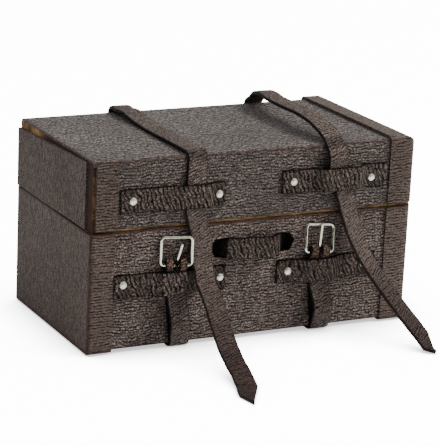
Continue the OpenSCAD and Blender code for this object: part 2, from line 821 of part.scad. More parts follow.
// Stations of a tail, from under the lid keeper to its cut tip on the floor
function tail_stations(s) =
    let (
        x = lid_belt_x[s] + lid_shift,
        half = belt_w / 2,
        gap = fold_gap + fold_drop[s],
        top = lid_keeper_low[s] - gap,
        y = -cover_y - slack[s] - belt_t / 2,
        run = tail_reach[s] - slack[s] - belt_t / 2,
        drift = tail_drift[s],
        turn = lid_turn[s],
        rest = belt_t / 2 + 0.03)
    s == LEFT
    ? [[x, y, top, turn, half, half],
        [x, y, top - 0.5, turn, half, half],
        [x + 0.35, y - 0.3, 0.9 * top, 0, half, half],
        [x + 0.75, y - 0.5, 0.835 * top, 0, half, half],
        [x + 1.1, y - 0.7, 0.775 * top, 0, half, half],
        [x + 1.15, y - 0.85, 0.68 * top, 0, half, half],
        [x + 1.12, y - 1.1, 0.61 * top, 0, half, half],
        [x + 1.05, y - 2, 0.565 * top, 0, half, half],
        [x + 1, y - 2.85, 0.5 * top, 0, half, half],
        [x + 0.95, y - 5, 0.44 * top, 0, half, half],
        [x + 0.8, y - 8, 0.33 * top, 0, half, half],
        [x + 0.6, y - 11, 0.225 * top, 0, half, half],
        [x + 0.3, y - 0.52 * run, 0.13 * top, 0, half, half],
        [x, y - 0.68 * run, 0.055 * top, 0, half, half],
        [x + 0.25 * drift, y - 0.78 * run, rest + 0.2, 0, half, half],
        [x + 0.78 * drift, y - 0.94 * run, rest, 0, half, 0.1],
        [x + drift, y - run, rest, 0, 0.42, -0.3]]
    : [[x + lid_slant[s] + gap * fold_slope[s], y, top, turn, half, half],
        [x + lid_slant[s] + (gap + 1.1) * fold_slope[s], y, top - 1.1, turn, half, half],
        [x + 0.21 * drift, y - 0.01 * run, 0.93 * top, turn + 2, half, half],
        [x + 0.24 * drift, y - 0.05 * run, 0.84 * top, turn + 5, half, half],
        [x + 0.3 * drift, y - 0.1 * run, 0.72 * top, turn + 8, half, half],
        [x + 0.36 * drift, y - 0.17 * run, 0.62 * top, turn + 10, half, half],
        [x + 0.42 * drift, y - 0.24 * run, 0.54 * top, turn + 11, half, half],
        [x + 0.55 * drift, y - 0.44 * run, 0.39 * top, turn + 12, half, half],
        [x + 0.67 * drift, y - 0.65 * run, 0.26 * top, turn + 12, half, half],
        [x + 0.86 * drift, y - 0.86 * run, 0.1 * top, turn + 12, half, half],
        [x + 0.945 * drift, y - 0.945 * run, 0.045 * top, turn + 12, half, 0.5],
        [x + drift, y - run, rest, turn + 12, 0.46, -0.34]];

module tail(s) {
    color(belt_leather)
        ribbon(tail_stations(s), belt_t);
}

// Wire frame of a buckle: four bars joined by quarter-round corners
module buckle(s) {
    w = buckle_w / 2 - wire_d / 2;
    h = buckle_h - wire_d;
    r = buckle_r - wire_d / 2;
    color(steel)
        on_bar(s)
            rotate([-buckle_lean[s], 0, 0]) {
                for (z = [0, h])
                    translate([0, 0, z])
                        rotate([0, 90, 0])
                            cylinder(h = 2 * (w - r), d = wire_d, center = true, $fn = 48);
                for (x = [-w, w])
                    translate([x, 0, r])
                        cylinder(h = h - 2 * r, d = wire_d, $fn = 48);
                for (corner = [[w - r, h - r, 0], [r - w, h - r, 90], [r - w, r, 180], [w - r, r, 270]])
                    translate([corner[0], 0, corner[1]])
                        rotate([90, 0, 0])
                            rotate([0, 0, corner[2]])
                                rotate_extrude(angle = 90, $fn = 48)
                                    translate([r, 0])
                                        circle(d = wire_d, $fn = 48);
            }
}

// Prong: a wire eye round the bar and a shank that lies over the frame
module prong(s) {
    over = asin((wire_d + prong_d) / 2 / (buckle_h - wire_d)) + 1;
    color(steel)
        on_bar(s)
            rotate([-buckle_lean[s], 0, 0])
                difference() {
                    union() {
                        rotate([0, 90, 0])
                            cylinder(h = prong_d, r = eye_r, center = true, $fn = 48);
                        rotate([over, prong_turn[s], 0])
                            translate([0, 0, loop_bore_r + prong_d / 2]) {
                                cylinder(h = prong_l[s] - loop_bore_r - prong_d, d = prong_d, $fn = 32);
                                translate([0, 0, prong_l[s] - loop_bore_r - prong_d])
                                    sphere(d = prong_d, $fn = 32);
                            }
                    }
                    rotate([0, 90, 0])
                        cylinder(h = 2 * prong_d, r = loop_bore_r, center = true, $fn = 48);
                }
}

placed() base_bottom_board();
placed() base_front_board();
placed() base_back_board();
placed() base_end_board(-1);  // base_left_board
placed() base_end_board(1);  // base_right_board
placed() base_cover();
placed() base_cap(LEFT);  // base_left_cap
placed() base_cap(RIGHT);  // base_right_cap
placed() base_lining();
placed() lid_top_board();
placed() lid_front_board();
placed() lid_back_board();
placed() lid_end_board(-1);  // lid_left_board
placed() lid_end_board(1);  // lid_right_board
placed() lid_cover();
placed() lid_left_panel();
placed() lid_left_bands();
placed() lid_right_cap();
placed() lid_lining();
placed() handle();
placed() base_keeper(LEFT);  // base_left_keeper
placed() base_keeper(RIGHT);  // base_right_keeper
placed() lid_keeper(LEFT);  // lid_left_keeper
placed() lid_keeper(RIGHT);  // lid_right_keeper
placed() base_rivets(LEFT);  // base_left_rivets
placed() base_rivets(RIGHT);  // base_right_rivets
placed() lid_rivets(LEFT);  // lid_left_rivets
placed() lid_rivets(RIGHT);  // lid_right_rivets
placed() lower_belt(LEFT);  // left_lower_belt
placed() lower_belt(RIGHT);  // right_lower_belt
placed() upper_belt(LEFT);  // left_upper_belt
placed() upper_belt(RIGHT);  // right_upper_belt
placed() tail(LEFT);  // left_tail
placed() tail(RIGHT);  // right_tail
placed() chape(LEFT);  // left_chape
placed() chape(RIGHT);  // right_chape
placed() buckle(LEFT);  // left_buckle
placed() buckle(RIGHT);  // right_buckle
placed() prong(LEFT);  // left_prong
placed() prong(RIGHT);  // right_prong
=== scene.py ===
import math

import bpy
import numpy as np
from mathutils import Matrix, Vector, noise


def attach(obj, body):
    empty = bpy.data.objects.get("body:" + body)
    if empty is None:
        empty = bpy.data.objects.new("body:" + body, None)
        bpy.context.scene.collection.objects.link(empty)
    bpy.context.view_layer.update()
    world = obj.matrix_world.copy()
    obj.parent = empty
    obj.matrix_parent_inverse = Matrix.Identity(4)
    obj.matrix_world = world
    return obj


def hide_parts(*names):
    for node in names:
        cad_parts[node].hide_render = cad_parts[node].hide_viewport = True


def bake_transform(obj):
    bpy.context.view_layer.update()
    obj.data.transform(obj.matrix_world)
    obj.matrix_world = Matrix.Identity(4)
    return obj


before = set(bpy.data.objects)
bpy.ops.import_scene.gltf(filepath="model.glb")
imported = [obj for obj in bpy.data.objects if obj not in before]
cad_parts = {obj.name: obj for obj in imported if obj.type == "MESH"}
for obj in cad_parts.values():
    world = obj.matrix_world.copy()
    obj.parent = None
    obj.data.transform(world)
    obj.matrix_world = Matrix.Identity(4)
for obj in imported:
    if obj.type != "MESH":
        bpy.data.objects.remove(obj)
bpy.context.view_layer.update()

# The case is in millimetres from its middle on the floor, until a mesh is made. MIDDLE is that
# point in the frame, whose origin lies under the right belt. A list of two is left, right.
MM = 0.001
MIDDLE = np.array([-12.95, 0, 0])
COVER_Y = 16.0
FOOT_Z = 0.6
BEND_R = 0.6
TOP_Z = 33.05
HINGE_Z = 20.975
LEFT, RIGHT = 0, 1
SIDE = ["left", "right"]
BELT_W, BELT_T = 3.6, 0.6
BELT_X = [-13.95, 12.95]
LID_BELT_X = [-11.9, 14.1]
BUCKLE_X, BAR_Z = [-15.52, 11.55], [14.75, 14.5]
BAR_Y = -COVER_Y - 1.3
TILT, TURN, PRONG_TURN = [0.5, 5], [13.5, 0], [13, 1]
BELT_END_BELOW_BAR = 0.875
# How far each belt stands off the lid's front, off its top and off the base's front
SLACK = [0.03, 0.3]
ARCH = [0.95, 2.75]
BULGE = [0.9, 1.5]
HANDLE_X, HANDLE_Z = -0.65, 16.45
KEEPER_H, KEEPER_T = 4.1, 0.5
BASE_KEEPER_X, BASE_KEEPER_Z = [(-26.25, -5.65), (4.05, 23.35)], [11.6, 11.3]
LID_KEEPER_X, LID_KEEPER_Z = [(-25.45, -6.45), (4.25, 24.55)], [26.15, 27.1]
LID_KEEPER_LOW = [24.1, 25.05]
LID_KEEPER_HIGH = [28.2, 29.15]
HEAD = {"Head Diameter": 1.3, "Head Height": 0.38, "Collar": 0.08}
RIVETS = {
    "base": [(-24.65, 11.95), (-6.85, 11.6), (6.15, 11.3), (20.95, 11.3)],
    "lid": [(-23.35, 26.15), (-7.65, 26.15), (6.35, 27.1), (21.45, 26.75)]}

# The photograph's camera in degrees, what it looks at, and from how many metres
CAMERA_TURN, CAMERA_RISE, CAMERA_ROLL = -27.294, 16.173, 2.722
CAMERA_AIM, CAMERA_REACH, CAMERA_LENS = [0.907, -0.55, 15.886], 0.370331, 170.35
# In metres, what the lamps look at; and the way from the case to the photograph's camera
LAMP_AIM = (-0.012, 0, 0.012)
DARK_WAY = (-0.44, -0.854, 0.279)


def place_camera():
    turn, rise, roll = (math.radians(a) for a in (CAMERA_TURN, CAMERA_RISE, CAMERA_ROLL))
    back = Vector((math.sin(turn) * math.cos(rise), -math.cos(turn) * math.cos(rise), math.sin(rise)))
    right = Vector((0, 0, 1)).cross(back).normalized()
    up = back.cross(right)
    right, up = (right * math.cos(roll) + up * math.sin(roll),
                 up * math.cos(roll) - right * math.sin(roll))
    lens = bpy.data.cameras.new("camera")
    lens.sensor_width = 36
    lens.lens = CAMERA_LENS
    lens.clip_start, lens.clip_end = 0.01, 20
    camera = bpy.data.objects.new("camera", lens)
    bpy.context.collection.objects.link(camera)
    place = Matrix((right, up, back)).transposed().to_4x4()
    place.translation = Vector((np.array(CAMERA_AIM) + MIDDLE) * MM) + back * CAMERA_REACH
    camera.matrix_world = place
    bpy.context.scene.camera = camera


def light(name, where, size, watts, colour):
    """A round lamp that looks at the case and doesn't show in its metal."""
    lamp = bpy.data.lights.new(name, "AREA")
    lamp.shape, lamp.size, lamp.energy, lamp.color = "DISK", size, watts, colour
    shown = bpy.data.objects.new(name, lamp)
    bpy.context.collection.objects.link(shown)
    shown.location = where
    shown.visible_glossy = False
    shown.rotation_euler = (Vector(LAMP_AIM) - Vector(where)).to_track_quat("-Z", "Y").to_euler()


def set_studio():
    """A dome that is bright overhead, dim round the horizon and dark round DARK_WAY, so that the
    polished metal has a dark core, with a key and two fills."""
    world = bpy.data.worlds.new("studio")
    bpy.context.scene.world = world
    world.use_nodes = True
    tree = world.node_tree
    way = tree.nodes.new("ShaderNodeTexCoord").outputs["Generated"]
    up = put(tree, "ShaderNodeSeparateXYZ", Vector=way).outputs["Z"]
    toward = put(tree, "ShaderNodeVectorMath", {"operation": "DOT_PRODUCT"}, _0=way,
                 _1=DARK_WAY).outputs["Value"]
    sky = tree.nodes["Background"]
    sky.inputs["Color"].default_value = (1, 1, 1, 1)
    shade = sum_of(tree, "MULTIPLY", span(tree, up, 0.0, 0.9, 0.45, 1.25),
                   span(tree, toward, 0.5, 0.8, 1.0, 0.02))
    tree.links.new(shade, sky.inputs["Strength"])
    light("key", (0.5, -0.3, 0.55), 0.3, 10, (1, 0.98, 0.95))
    light("left fill", (-0.75, -0.12, 0.3), 0.35, 2.6, (0.97, 0.98, 1))
    light("front fill", (0.28, -0.8, 0.25), 0.35, 2.0, (0.97, 0.98, 1))


def put(tree, kind, settings=None, **inputs):
    """One node; an input is named by its socket, with _ for a space, or by _ and its number."""
    made = tree.nodes.new(kind)
    for key, value in (settings or {}).items():
        setattr(made, key, value)
    for key, value in inputs.items():
        socket = made.inputs[int(key[1:])] if key[0] == "_" else made.inputs[key.replace("_", " ")]
        if isinstance(value, bpy.types.NodeSocket):
            tree.links.new(value, socket)
        else:
            socket.default_value = value
    return made


def sum_of(tree, operation, *terms):
    """The result of a Math node on numbers or sockets."""
    inputs = {f"_{i}": term for i, term in enumerate(terms)}
    return put(tree, "ShaderNodeMath", {"operation": operation}, **inputs).outputs[0]


def span(tree, value, low, high, to_low=0.0, to_high=1.0):
    """value from low to high becomes to_low to to_high, smoothly and held outside."""
    return put(tree, "ShaderNodeMapRange", {"interpolation_type": "SMOOTHSTEP"}, Value=value, From_Min=low,
               From_Max=high, To_Min=to_low, To_Max=to_high).outputs[0]


def blend_colour(tree, factor, first, second, way="MIX"):
    made = tree.nodes.new("ShaderNodeMix")
    made.data_type, made.blend_type = "RGBA", way
    sockets = made.inputs["Factor"], made.inputs[6], made.inputs[7]
    for socket, value in zip(sockets, (factor, first, second)):
        if isinstance(value, bpy.types.NodeSocket):
            tree.links.new(value, socket)
        else:
            socket.default_value = value
    return made.outputs[2]


def new_group(name, inputs, outputs):
    tree = bpy.data.node_groups.new(name, "ShaderNodeTree")
    for label, kind, value in inputs:
        socket = tree.interface.new_socket(label, in_out="INPUT", socket_type=kind)
        if value is not None:
            socket.default_value = value
    for label, kind in outputs:
        tree.interface.new_socket(label, in_out="OUTPUT", socket_type=kind)
    return tree, tree.nodes.new("NodeGroupInput"), tree.nodes.new("NodeGroupOutput")


FLOAT, VECTOR = "NodeSocketFloat", "NodeSocketVector"


def make_face_run():
    """Millimetres along and across the grain on each face of the case: level on the front, back
    and top, upright on the ends. The top's leather is pulled, so its grain is wider."""
    tree, _, out = new_group("face run", [], [("Run", VECTOR), ("Level", FLOAT)])
    place = tree.nodes.new("ShaderNodeTexCoord")
    xyz = put(tree, "ShaderNodeSeparateXYZ", Vector=place.outputs["Object"]).outputs
    facing = put(tree, "ShaderNodeSeparateXYZ", Vector=place.outputs["Normal"]).outputs
    end = sum_of(tree, "GREATER_THAN", sum_of(tree, "ABSOLUTE", facing[0]), 0.7)
    flat = sum_of(tree, "GREATER_THAN", sum_of(tree, "ABSOLUTE", facing[2]), 0.7)

    def pick(factor, first, second):
        return put(tree, "ShaderNodeMix", {"data_type": "FLOAT"}, _0=factor, _2=first, _3=second).outputs[0]

    along = pick(end, xyz[0], xyz[2])
    across = pick(end, pick(flat, xyz[2], sum_of(tree, "MULTIPLY", xyz[1], 0.55)), xyz[1])
    apart = sum_of(tree, "MULTIPLY", flat, 0.03)
    run = put(tree, "ShaderNodeCombineXYZ", X=along, Y=across, Z=apart).outputs[0]
    scaled = put(tree, "ShaderNodeVectorMath", {"operation": "SCALE"}, _0=run, Scale=1000.0).outputs[0]
    tree.links.new(scaled, out.inputs[0])
    tree.links.new(flat, out.inputs[1])
    return tree


def make_hide_grain():
    """Wavy ridges of pressed leather along the run, parted by dark creases that fork and break and
    by a net that joins them."""
    tree, given, out = new_group(
        "hide grain",
        [("Run", VECTOR, None), ("Pitch", FLOAT, 0.7), ("Wander", FLOAT, 0.5), ("Broken", FLOAT, 0.5),
         ("Net", FLOAT, 0.7)],
        [("Height", FLOAT), ("Crease", FLOAT), ("Speck", FLOAT)])
    run = given.outputs["Run"]
    for size, reach in ((3.2, 2.4), (1.15, 1.7), (0.5, 0.5)):
        stray = put(tree, "ShaderNodeTexNoise", Vector=given.outputs["Run"], Scale=1 / size, Detail=1.0)
        stray = put(tree, "ShaderNodeVectorMath", {"operation": "SUBTRACT"}, _0=stray.outputs["Color"],
                    _1=(0.5, 0.5, 0.5)).outputs[0]
        stray = put(tree, "ShaderNodeVectorMath", {"operation": "SCALE"}, _0=stray,
                    Scale=sum_of(tree, "MULTIPLY", given.outputs["Wander"], reach)).outputs[0]
        run = put(tree, "ShaderNodeVectorMath", {"operation": "ADD"}, _0=run, _1=stray).outputs[0]
    across = put(tree, "ShaderNodeSeparateXYZ", Vector=run).outputs[1]
    turn = sum_of(tree, "MULTIPLY", sum_of(tree, "DIVIDE", across, given.outputs["Pitch"]), 2 * math.pi)
    ridge = sum_of(tree, "MULTIPLY_ADD", sum_of(tree, "SINE", turn), 0.5, 0.5)
    speck = put(tree, "ShaderNodeTexNoise", Vector=given.outputs["Run"], Scale=3.2, Detail=2.0,
                Roughness=0.6).outputs[0]
    pores = sum_of(tree, "MULTIPLY_ADD", speck, 0.8, -0.4)
    where = put(tree, "ShaderNodeMapping", Vector=run, Scale=(0.75, 1.5, 1.0)).outputs[0]
    gap = put(tree, "ShaderNodeTexNoise", Vector=where, Scale=1.0, Detail=1.0).outputs[0]
    whole_ridge = sum_of(tree, "MULTIPLY", span(tree, gap, 0.42, 0.62), given.outputs["Broken"])
    crease = span(tree, sum_of(tree, "ADD", ridge, pores), 0.05, 0.6, 1.0, 0.0)
    crease = sum_of(tree, "MULTIPLY", crease, sum_of(tree, "SUBTRACT", 1.0, whole_ridge))
    cells = put(tree, "ShaderNodeVectorMath", {"operation": "SCALE"}, _0=run,
                Scale=sum_of(tree, "DIVIDE", 1.0, given.outputs["Pitch"])).outputs[0]
    cells = put(tree, "ShaderNodeMapping", Vector=cells, Scale=(0.5, 0.95, 1.0)).outputs[0]
    edge = put(tree, "ShaderNodeTexVoronoi", {"feature": "DISTANCE_TO_EDGE"}, Vector=cells,
               Scale=1.0).outputs["Distance"]
    net = span(tree, sum_of(tree, "MULTIPLY_ADD", speck, 0.3, edge), 0.15, 0.3, 1.0, 0.0)
    crease = sum_of(tree, "MAXIMUM", crease, sum_of(tree, "MULTIPLY", net, given.outputs["Net"]))
    height = sum_of(tree, "MULTIPLY_ADD", speck, 0.45, sum_of(tree, "MULTIPLY", crease, -1.0))
    for i, socket in enumerate((height, crease, speck)):
        tree.links.new(socket, out.inputs[i])
    return tree


def make_patches():
    """Slow changes of tone over the hide, from rubbed to dark."""
    tree, given, out = new_group("patches", [("Run", VECTOR, None), ("Size", FLOAT, 8.0)], [("Tone", FLOAT)])
    run = put(tree, "ShaderNodeVectorMath", {"operation": "SCALE"}, _0=given.outputs["Run"],
              Scale=sum_of(tree, "DIVIDE", 1.0, given.outputs["Size"])).outputs[0]
    cloud = put(tree, "ShaderNodeTexNoise", Vector=run, Scale=1.0, Detail=3.0, Roughness=0.6).outputs[0]
    tree.links.new(span(tree, cloud, 0.3, 0.7), out.inputs[0])
    return tree


def make_box_edge():
    """How near a point of a box's skin is to the box's nearest edge."""
    tree, given, out = new_group(
        "box edge", [("Middle", VECTOR, None), ("Half", VECTOR, None), ("Reach", FLOAT, 0.8)],
        [("Near", FLOAT)])
    place = put(tree, "ShaderNodeVectorMath", {"operation": "SCALE"},
                _0=tree.nodes.new("ShaderNodeTexCoord").outputs["Object"], Scale=1000.0).outputs[0]
    off = put(tree, "ShaderNodeVectorMath", {"operation": "SUBTRACT"}, _0=place,
              _1=given.outputs["Middle"]).outputs[0]
    off = put(tree, "ShaderNodeVectorMath", {"operation": "ABSOLUTE"}, _0=off).outputs[0]
    left = put(tree, "ShaderNodeVectorMath", {"operation": "SUBTRACT"}, _0=given.outputs["Half"],
               _1=off).outputs[0]
    x, y, z = put(tree, "ShaderNodeSeparateXYZ", Vector=left).outputs
    least = sum_of(tree, "MINIMUM", sum_of(tree, "MINIMUM", x, y), z)
    most = sum_of(tree, "MAXIMUM", sum_of(tree, "MAXIMUM", x, y), z)
    total = sum_of(tree, "ADD", sum_of(tree, "ADD", x, y), z)
    second = sum_of(tree, "SUBTRACT", sum_of(tree, "SUBTRACT", total, least), most)
    near = sum_of(tree, "SUBTRACT", 1.0, sum_of(tree, "DIVIDE", second, given.outputs["Reach"]))
    tree.links.new(span(tree, near, 0.0, 1.0), out.inputs[0])
    return tree


face_run = make_face_run()
box_edge = make_box_edge()
hide_grain = make_hide_grain()
patches = make_patches()


def group(tree, shared, **inputs):
    """The outputs of a shared group placed in a tree."""
    return put(tree, "ShaderNodeGroup", {"node_tree": shared}, **inputs).outputs


def new_material(name):
    material = bpy.data.materials.new(name)
    material.use_nodes = True
    tree = material.node_tree
    return material, tree, tree.nodes["Principled BSDF"]


def strap_run(tree):
    """The strap's own millimetres: across it, then along it, so that its grain crosses it."""
    uv = put(tree, "ShaderNodeUVMap", {"uv_map": "strap"}).outputs[0]
    uv = put(tree, "ShaderNodeSeparateXYZ", Vector=uv).outputs
    skew = sum_of(tree, "MULTIPLY_ADD", uv[1], 0.35, uv[0])
    return put(tree, "ShaderNodeCombineXYZ", X=uv[1], Y=skew, Z=0.0).outputs[0], 0.0


def leather(name, run_of, dark, mid, pale, grain, rough, relief, gloss, edge=None, box=None, calm=0.0,
            tip=None, dark_where=None):
    """Grained leather, its creases darkened and its raised specks paled: partly the hide's own colour,
    partly painted shade in the creases and a painted highlight on the grain. grain is the pitch,
    wander and brokenness of its ridges and how much of a net joins them. edge is the colour of a
    strap's cut edge, and of the rings that are rubbed dark or given painted shade. box is the middle
    and half size of the box whose edges are worn smooth, and how far the wear reaches. calm evens the
    grain on a level face, which a painted sheen also makes greyer and lighter. tip is what the far
    end of a strap is multiplied by. The last argument, from tree, place and facing, gives where the
    leather is painted black as shade."""
    material, tree, shader = new_material(name)
    run, flat = run_of(tree)
    pitch, wander, broken, net = grain
    hide = group(tree, hide_grain, Run=run, Pitch=pitch, Wander=wander, Broken=broken, Net=net)
    tone = group(tree, patches, Run=run, Size=9.0)[0]
    depth = sum_of(tree, "MULTIPLY_ADD", flat, -calm, 1.0) if calm else 1.0
    # Pale on the raised grain and dark in the creases: partly the hide's own colour, partly a painted
    # highlight and painted shade.
    pads = blend_colour(tree, span(tree, hide["Speck"], 0.35, 0.68), mid, pale)
    pads = blend_colour(tree, sum_of(tree, "MULTIPLY", tone, 0.4), pads, mid)
    crease = sum_of(tree, "MULTIPLY", hide["Crease"], depth)
    skin = blend_colour(tree, crease, pads, dark)
    if box is not None:
        middle, half, reach = box
        near = group(tree, box_edge, Middle=middle, Half=half, Reach=reach)[0]
        skin = blend_colour(tree, sum_of(tree, "MULTIPLY", near, 0.8), skin, EDGE_BROWN)
    if edge is not None:
        # Cut edges, rubbed rings and painted shade all take the edge colour.
        cut = put(tree, "ShaderNodeAttribute", {"attribute_name": "cut_edge_wear_and_shade"}).outputs["Fac"]
        skin = blend_colour(tree, span(tree, cut, 0.3, 0.8), skin, edge)
    if calm:
        # Painted sheen: the level faces are made lighter and greyer.
        skin = blend_colour(tree, flat, skin, PAINTED_TOP_SHEEN, "MULTIPLY")
    if tip is not None:
        far = put(tree, "ShaderNodeAttribute", {"attribute_name": "far"}).outputs["Fac"]
        skin = blend_colour(tree, span(tree, far, 0.3, 0.7), skin, tip, "MULTIPLY")
    if dark_where is not None:
        # Painted shade: black where the given mask says, as behind the lower belts.
        skin = blend_colour(tree, dark_where(tree, *object_place(tree)), skin, EDGE_AND_SHADE_BLACK)
    tree.links.new(skin, shader.inputs["Base Color"])
    tree.links.new(span(tree, crease, 0.0, 1.0, rough, min(rough + 0.3, 1.0)), shader.inputs["Roughness"])
    shader.inputs["Specular IOR Level"].default_value = gloss
    height = sum_of(tree, "MULTIPLY", hide["Height"], depth)
    bump = put(tree, "ShaderNodeBump", Height=height, Distance=relief * MM, Strength=1.0)
    tree.links.new(bump.outputs[0], shader.inputs["Normal"])
    return material


def on_faces(tree):
    """The case's own millimetres, and where its faces lie level."""
    found = group(tree, face_run)
    return found["Run"], found["Level"]


def object_place(tree):
    """Where a point is and which way it faces, each as x, y and z."""
    here = tree.nodes.new("ShaderNodeTexCoord").outputs
    return [put(tree, "ShaderNodeSeparateXYZ", Vector=here[kind]).outputs for kind in ("Object", "Normal")]


def under_belts(tree, place, facing):
    """Black on the front behind the lower belts, for the shade in the gap that they stand off."""
    found = None
    for s in (LEFT, RIGHT):
        middle = sum_of(tree, "MULTIPLY_ADD", place[2], belt_slope(s), (BELT_X[s] + MIDDLE[0]) * MM)
        off = sum_of(tree, "ABSOLUTE", sum_of(tree, "SUBTRACT", place[0], middle))
        here = span(tree, off, 1.6 * MM, 1.9 * MM, 1.0, 0.0)
        found = here if found is None else sum_of(tree, "MAXIMUM", found, here)
    front = span(tree, facing[1], -0.9, -0.7, 1.0, 0.0)
    low = span(tree, place[2], 11.0 * MM, 12.5 * MM, 1.0, 0.0)
    return sum_of(tree, "MULTIPLY", sum_of(tree, "MULTIPLY", found, front), low)


def belt_slope(s):
    return (BUCKLE_X[s] - BELT_X[s]) / (BAR_Z[s] - FOOT_Z)


def bare_board(name="bare board", dark_where=None):
    """Raw yellow card with fibres, browner where leather was glued to it. The last argument, from
    tree, place and facing, gives where it is dark as well; on the side board that is painted shade."""
    material, tree, shader = new_material(name)
    run = group(tree, face_run)[0]
    long_fibres = put(tree, "ShaderNodeMapping", Vector=run, Scale=(0.5, 5.0, 1.0)).outputs[0]
    fibre = put(tree, "ShaderNodeTexNoise", Vector=long_fibres, Scale=1.0, Detail=5.0,
                Roughness=0.7).outputs[0]
    tone = group(tree, patches, Run=run, Size=5.0)[0]
    raw = blend_colour(tree, span(tree, fibre, 0.3, 0.7), (0.09, 0.046, 0.016, 1), (0.38, 0.235, 0.085, 1))
    raw = blend_colour(tree, sum_of(tree, "MULTIPLY", tone, 0.93), raw, (0.025, 0.01, 0.005, 1))
    if dark_where is not None:
        brown = blend_colour(tree, fibre, (0.004, 0.002, 0.0015, 1), (0.03, 0.013, 0.009, 1))
        raw = blend_colour(tree, dark_where(tree, *object_place(tree)), raw, brown)
    tree.links.new(raw, shader.inputs["Base Color"])
    tree.links.new(span(tree, fibre, 0.2, 0.8, 0.95, 0.7), shader.inputs["Roughness"])
    shader.inputs["Specular IOR Level"].default_value = 0.2
    bump = put(tree, "ShaderNodeBump", Height=fibre, Distance=0.08 * MM, Strength=1.0)
    tree.links.new(bump.outputs[0], shader.inputs["Normal"])
    return material


def low_stain(tree, place, facing):
    """Dark up to the foot of the bare line that shows under the lid."""
    return span(tree, place[2], 20.4 * MM, 20.7 * MM, 1.0, 0.0)


def left_face_shade(tree, place, facing):
    """Painted shade: dark on the faces that look left."""
    return span(tree, facing[0], -0.7, -0.3, 1.0, 0.0)


def dark_but_back(tree, place, facing):
    """Dark but for the back corner, where the raw card shows."""
    return span(tree, place[1], 3.0 * MM, 9.0 * MM, 1.0, 0.0)


def lining_paper():
    """Laid paper, faintly ribbed and spotted with age, and painted black round the handle's ends, as painted
    shade seen through the slots.
    """
    material, tree, shader = new_material("lining paper")
    run = group(tree, face_run)[0]
    ribs = put(tree, "ShaderNodeTexWave", {"bands_direction": "Y"}, Vector=run, Scale=0.55, Distortion=0.6,
               Detail=2.0).outputs["Fac"]
    spot = put(tree, "ShaderNodeTexNoise", Vector=run, Scale=0.35, Detail=5.0, Roughness=0.7).outputs[0]
    sheet = blend_colour(tree, span(tree, spot, 0.52, 0.72), (0.42, 0.35, 0.25, 1), (0.27, 0.19, 0.11, 1))
    sheet = blend_colour(tree, sum_of(tree, "MULTIPLY", ribs, 0.25), sheet, (0.5, 0.43, 0.32, 1))
    # Painted shade: a black oval round the handle's ends, seen through the slots.
    place = tree.nodes.new("ShaderNodeTexCoord").outputs["Object"]
    off = put(tree, "ShaderNodeVectorMath", {"operation": "SUBTRACT"}, _0=place,
              _1=tuple((np.array([HANDLE_X, -15, HANDLE_Z]) + MIDDLE) * MM)).outputs[0]
    off = put(tree, "ShaderNodeVectorMath", {"operation": "DIVIDE"}, _0=off,
              _1=(11 * MM, 1.2 * MM, 3.4 * MM)).outputs[0]
    off = put(tree, "ShaderNodeVectorMath", {"operation": "LENGTH"}, _0=off).outputs["Value"]
    sheet = blend_colour(tree, span(tree, off, 0.95, 1.15, 1.0, 0.0), sheet, (0.01, 0.006, 0.004, 1))
    tree.links.new(sheet, shader.inputs["Base Color"])
    tree.links.new(span(tree, spot, 0.3, 0.7, 0.8, 0.95), shader.inputs["Roughness"])
    bump = put(tree, "ShaderNodeBump", Height=ribs, Distance=0.03 * MM, Strength=1.0)
    tree.links.new(bump.outputs[0], shader.inputs["Normal"])
    return material


def polished(name, bright, dull, rough, bar=None):
    """Nickelled metal, a little clouded and finely scratched; black with grease near bar, if one
    is given."""
    material, tree, shader = new_material(name)
    place = tree.nodes.new("ShaderNodeTexCoord").outputs["Object"]
    run = put(tree, "ShaderNodeVectorMath", {"operation": "SCALE"}, _0=place, Scale=1000.0).outputs[0]
    cloud = put(tree, "ShaderNodeTexNoise", Vector=run, Scale=1.4, Detail=4.0, Roughness=0.65).outputs[0]
    scratch = put(tree, "ShaderNodeTexNoise", Vector=run, Scale=9.0, Detail=2.0).outputs[0]
    plate = blend_colour(tree, span(tree, cloud, 0.4, 0.75), bright, dull)
    if bar is not None:
        off = put(tree, "ShaderNodeVectorMath", {"operation": "DISTANCE"}, _0=run,
                  _1=tuple(np.array(bar) + MIDDLE)).outputs["Value"]
        plate = blend_colour(tree, span(tree, off, 0.9, 1.2, 1.0, 0.0), plate, (0.012, 0.007, 0.005, 1))
    tree.links.new(plate, shader.inputs["Base Color"])
    tree.links.new(span(tree, cloud, 0.3, 0.8, rough, rough + 0.2), shader.inputs["Roughness"])
    shader.inputs["Metallic"].default_value = 1.0
    bump = put(tree, "ShaderNodeBump", Height=scratch, Distance=0.006 * MM, Strength=1.0)
    tree.links.new(bump.outputs[0], shader.inputs["Normal"])
    return material


EDGE_BROWN = (0.03, 0.013, 0.01, 1)
TAIL_CUT = (0.012, 0.006, 0.005, 1)
# Black of a strap's cut edge, also used for painted shade.
EDGE_AND_SHADE_BLACK = (0.003, 0.0012, 0.001, 1)
# Painted sheen that makes the level faces lighter and greyer.
PAINTED_TOP_SHEEN = (1.22, 1.3, 1.35, 1)
TAIL_TINT = (0.48, 0.41, 0.41, 1)
WIRE_BRIGHT, WIRE_DULL, WIRE_ROUGH = (0.68, 0.69, 0.58, 1), (0.42, 0.42, 0.32, 1), 0.06
BASE_BOX = ((MIDDLE[0], 0, 10.75), (30.65, 16, 10.15), 0.7)
LID_BOX = ((MIDDLE[0] + 0.1, 0, 27.1), (30.4, 16, 5.95), 0.8)

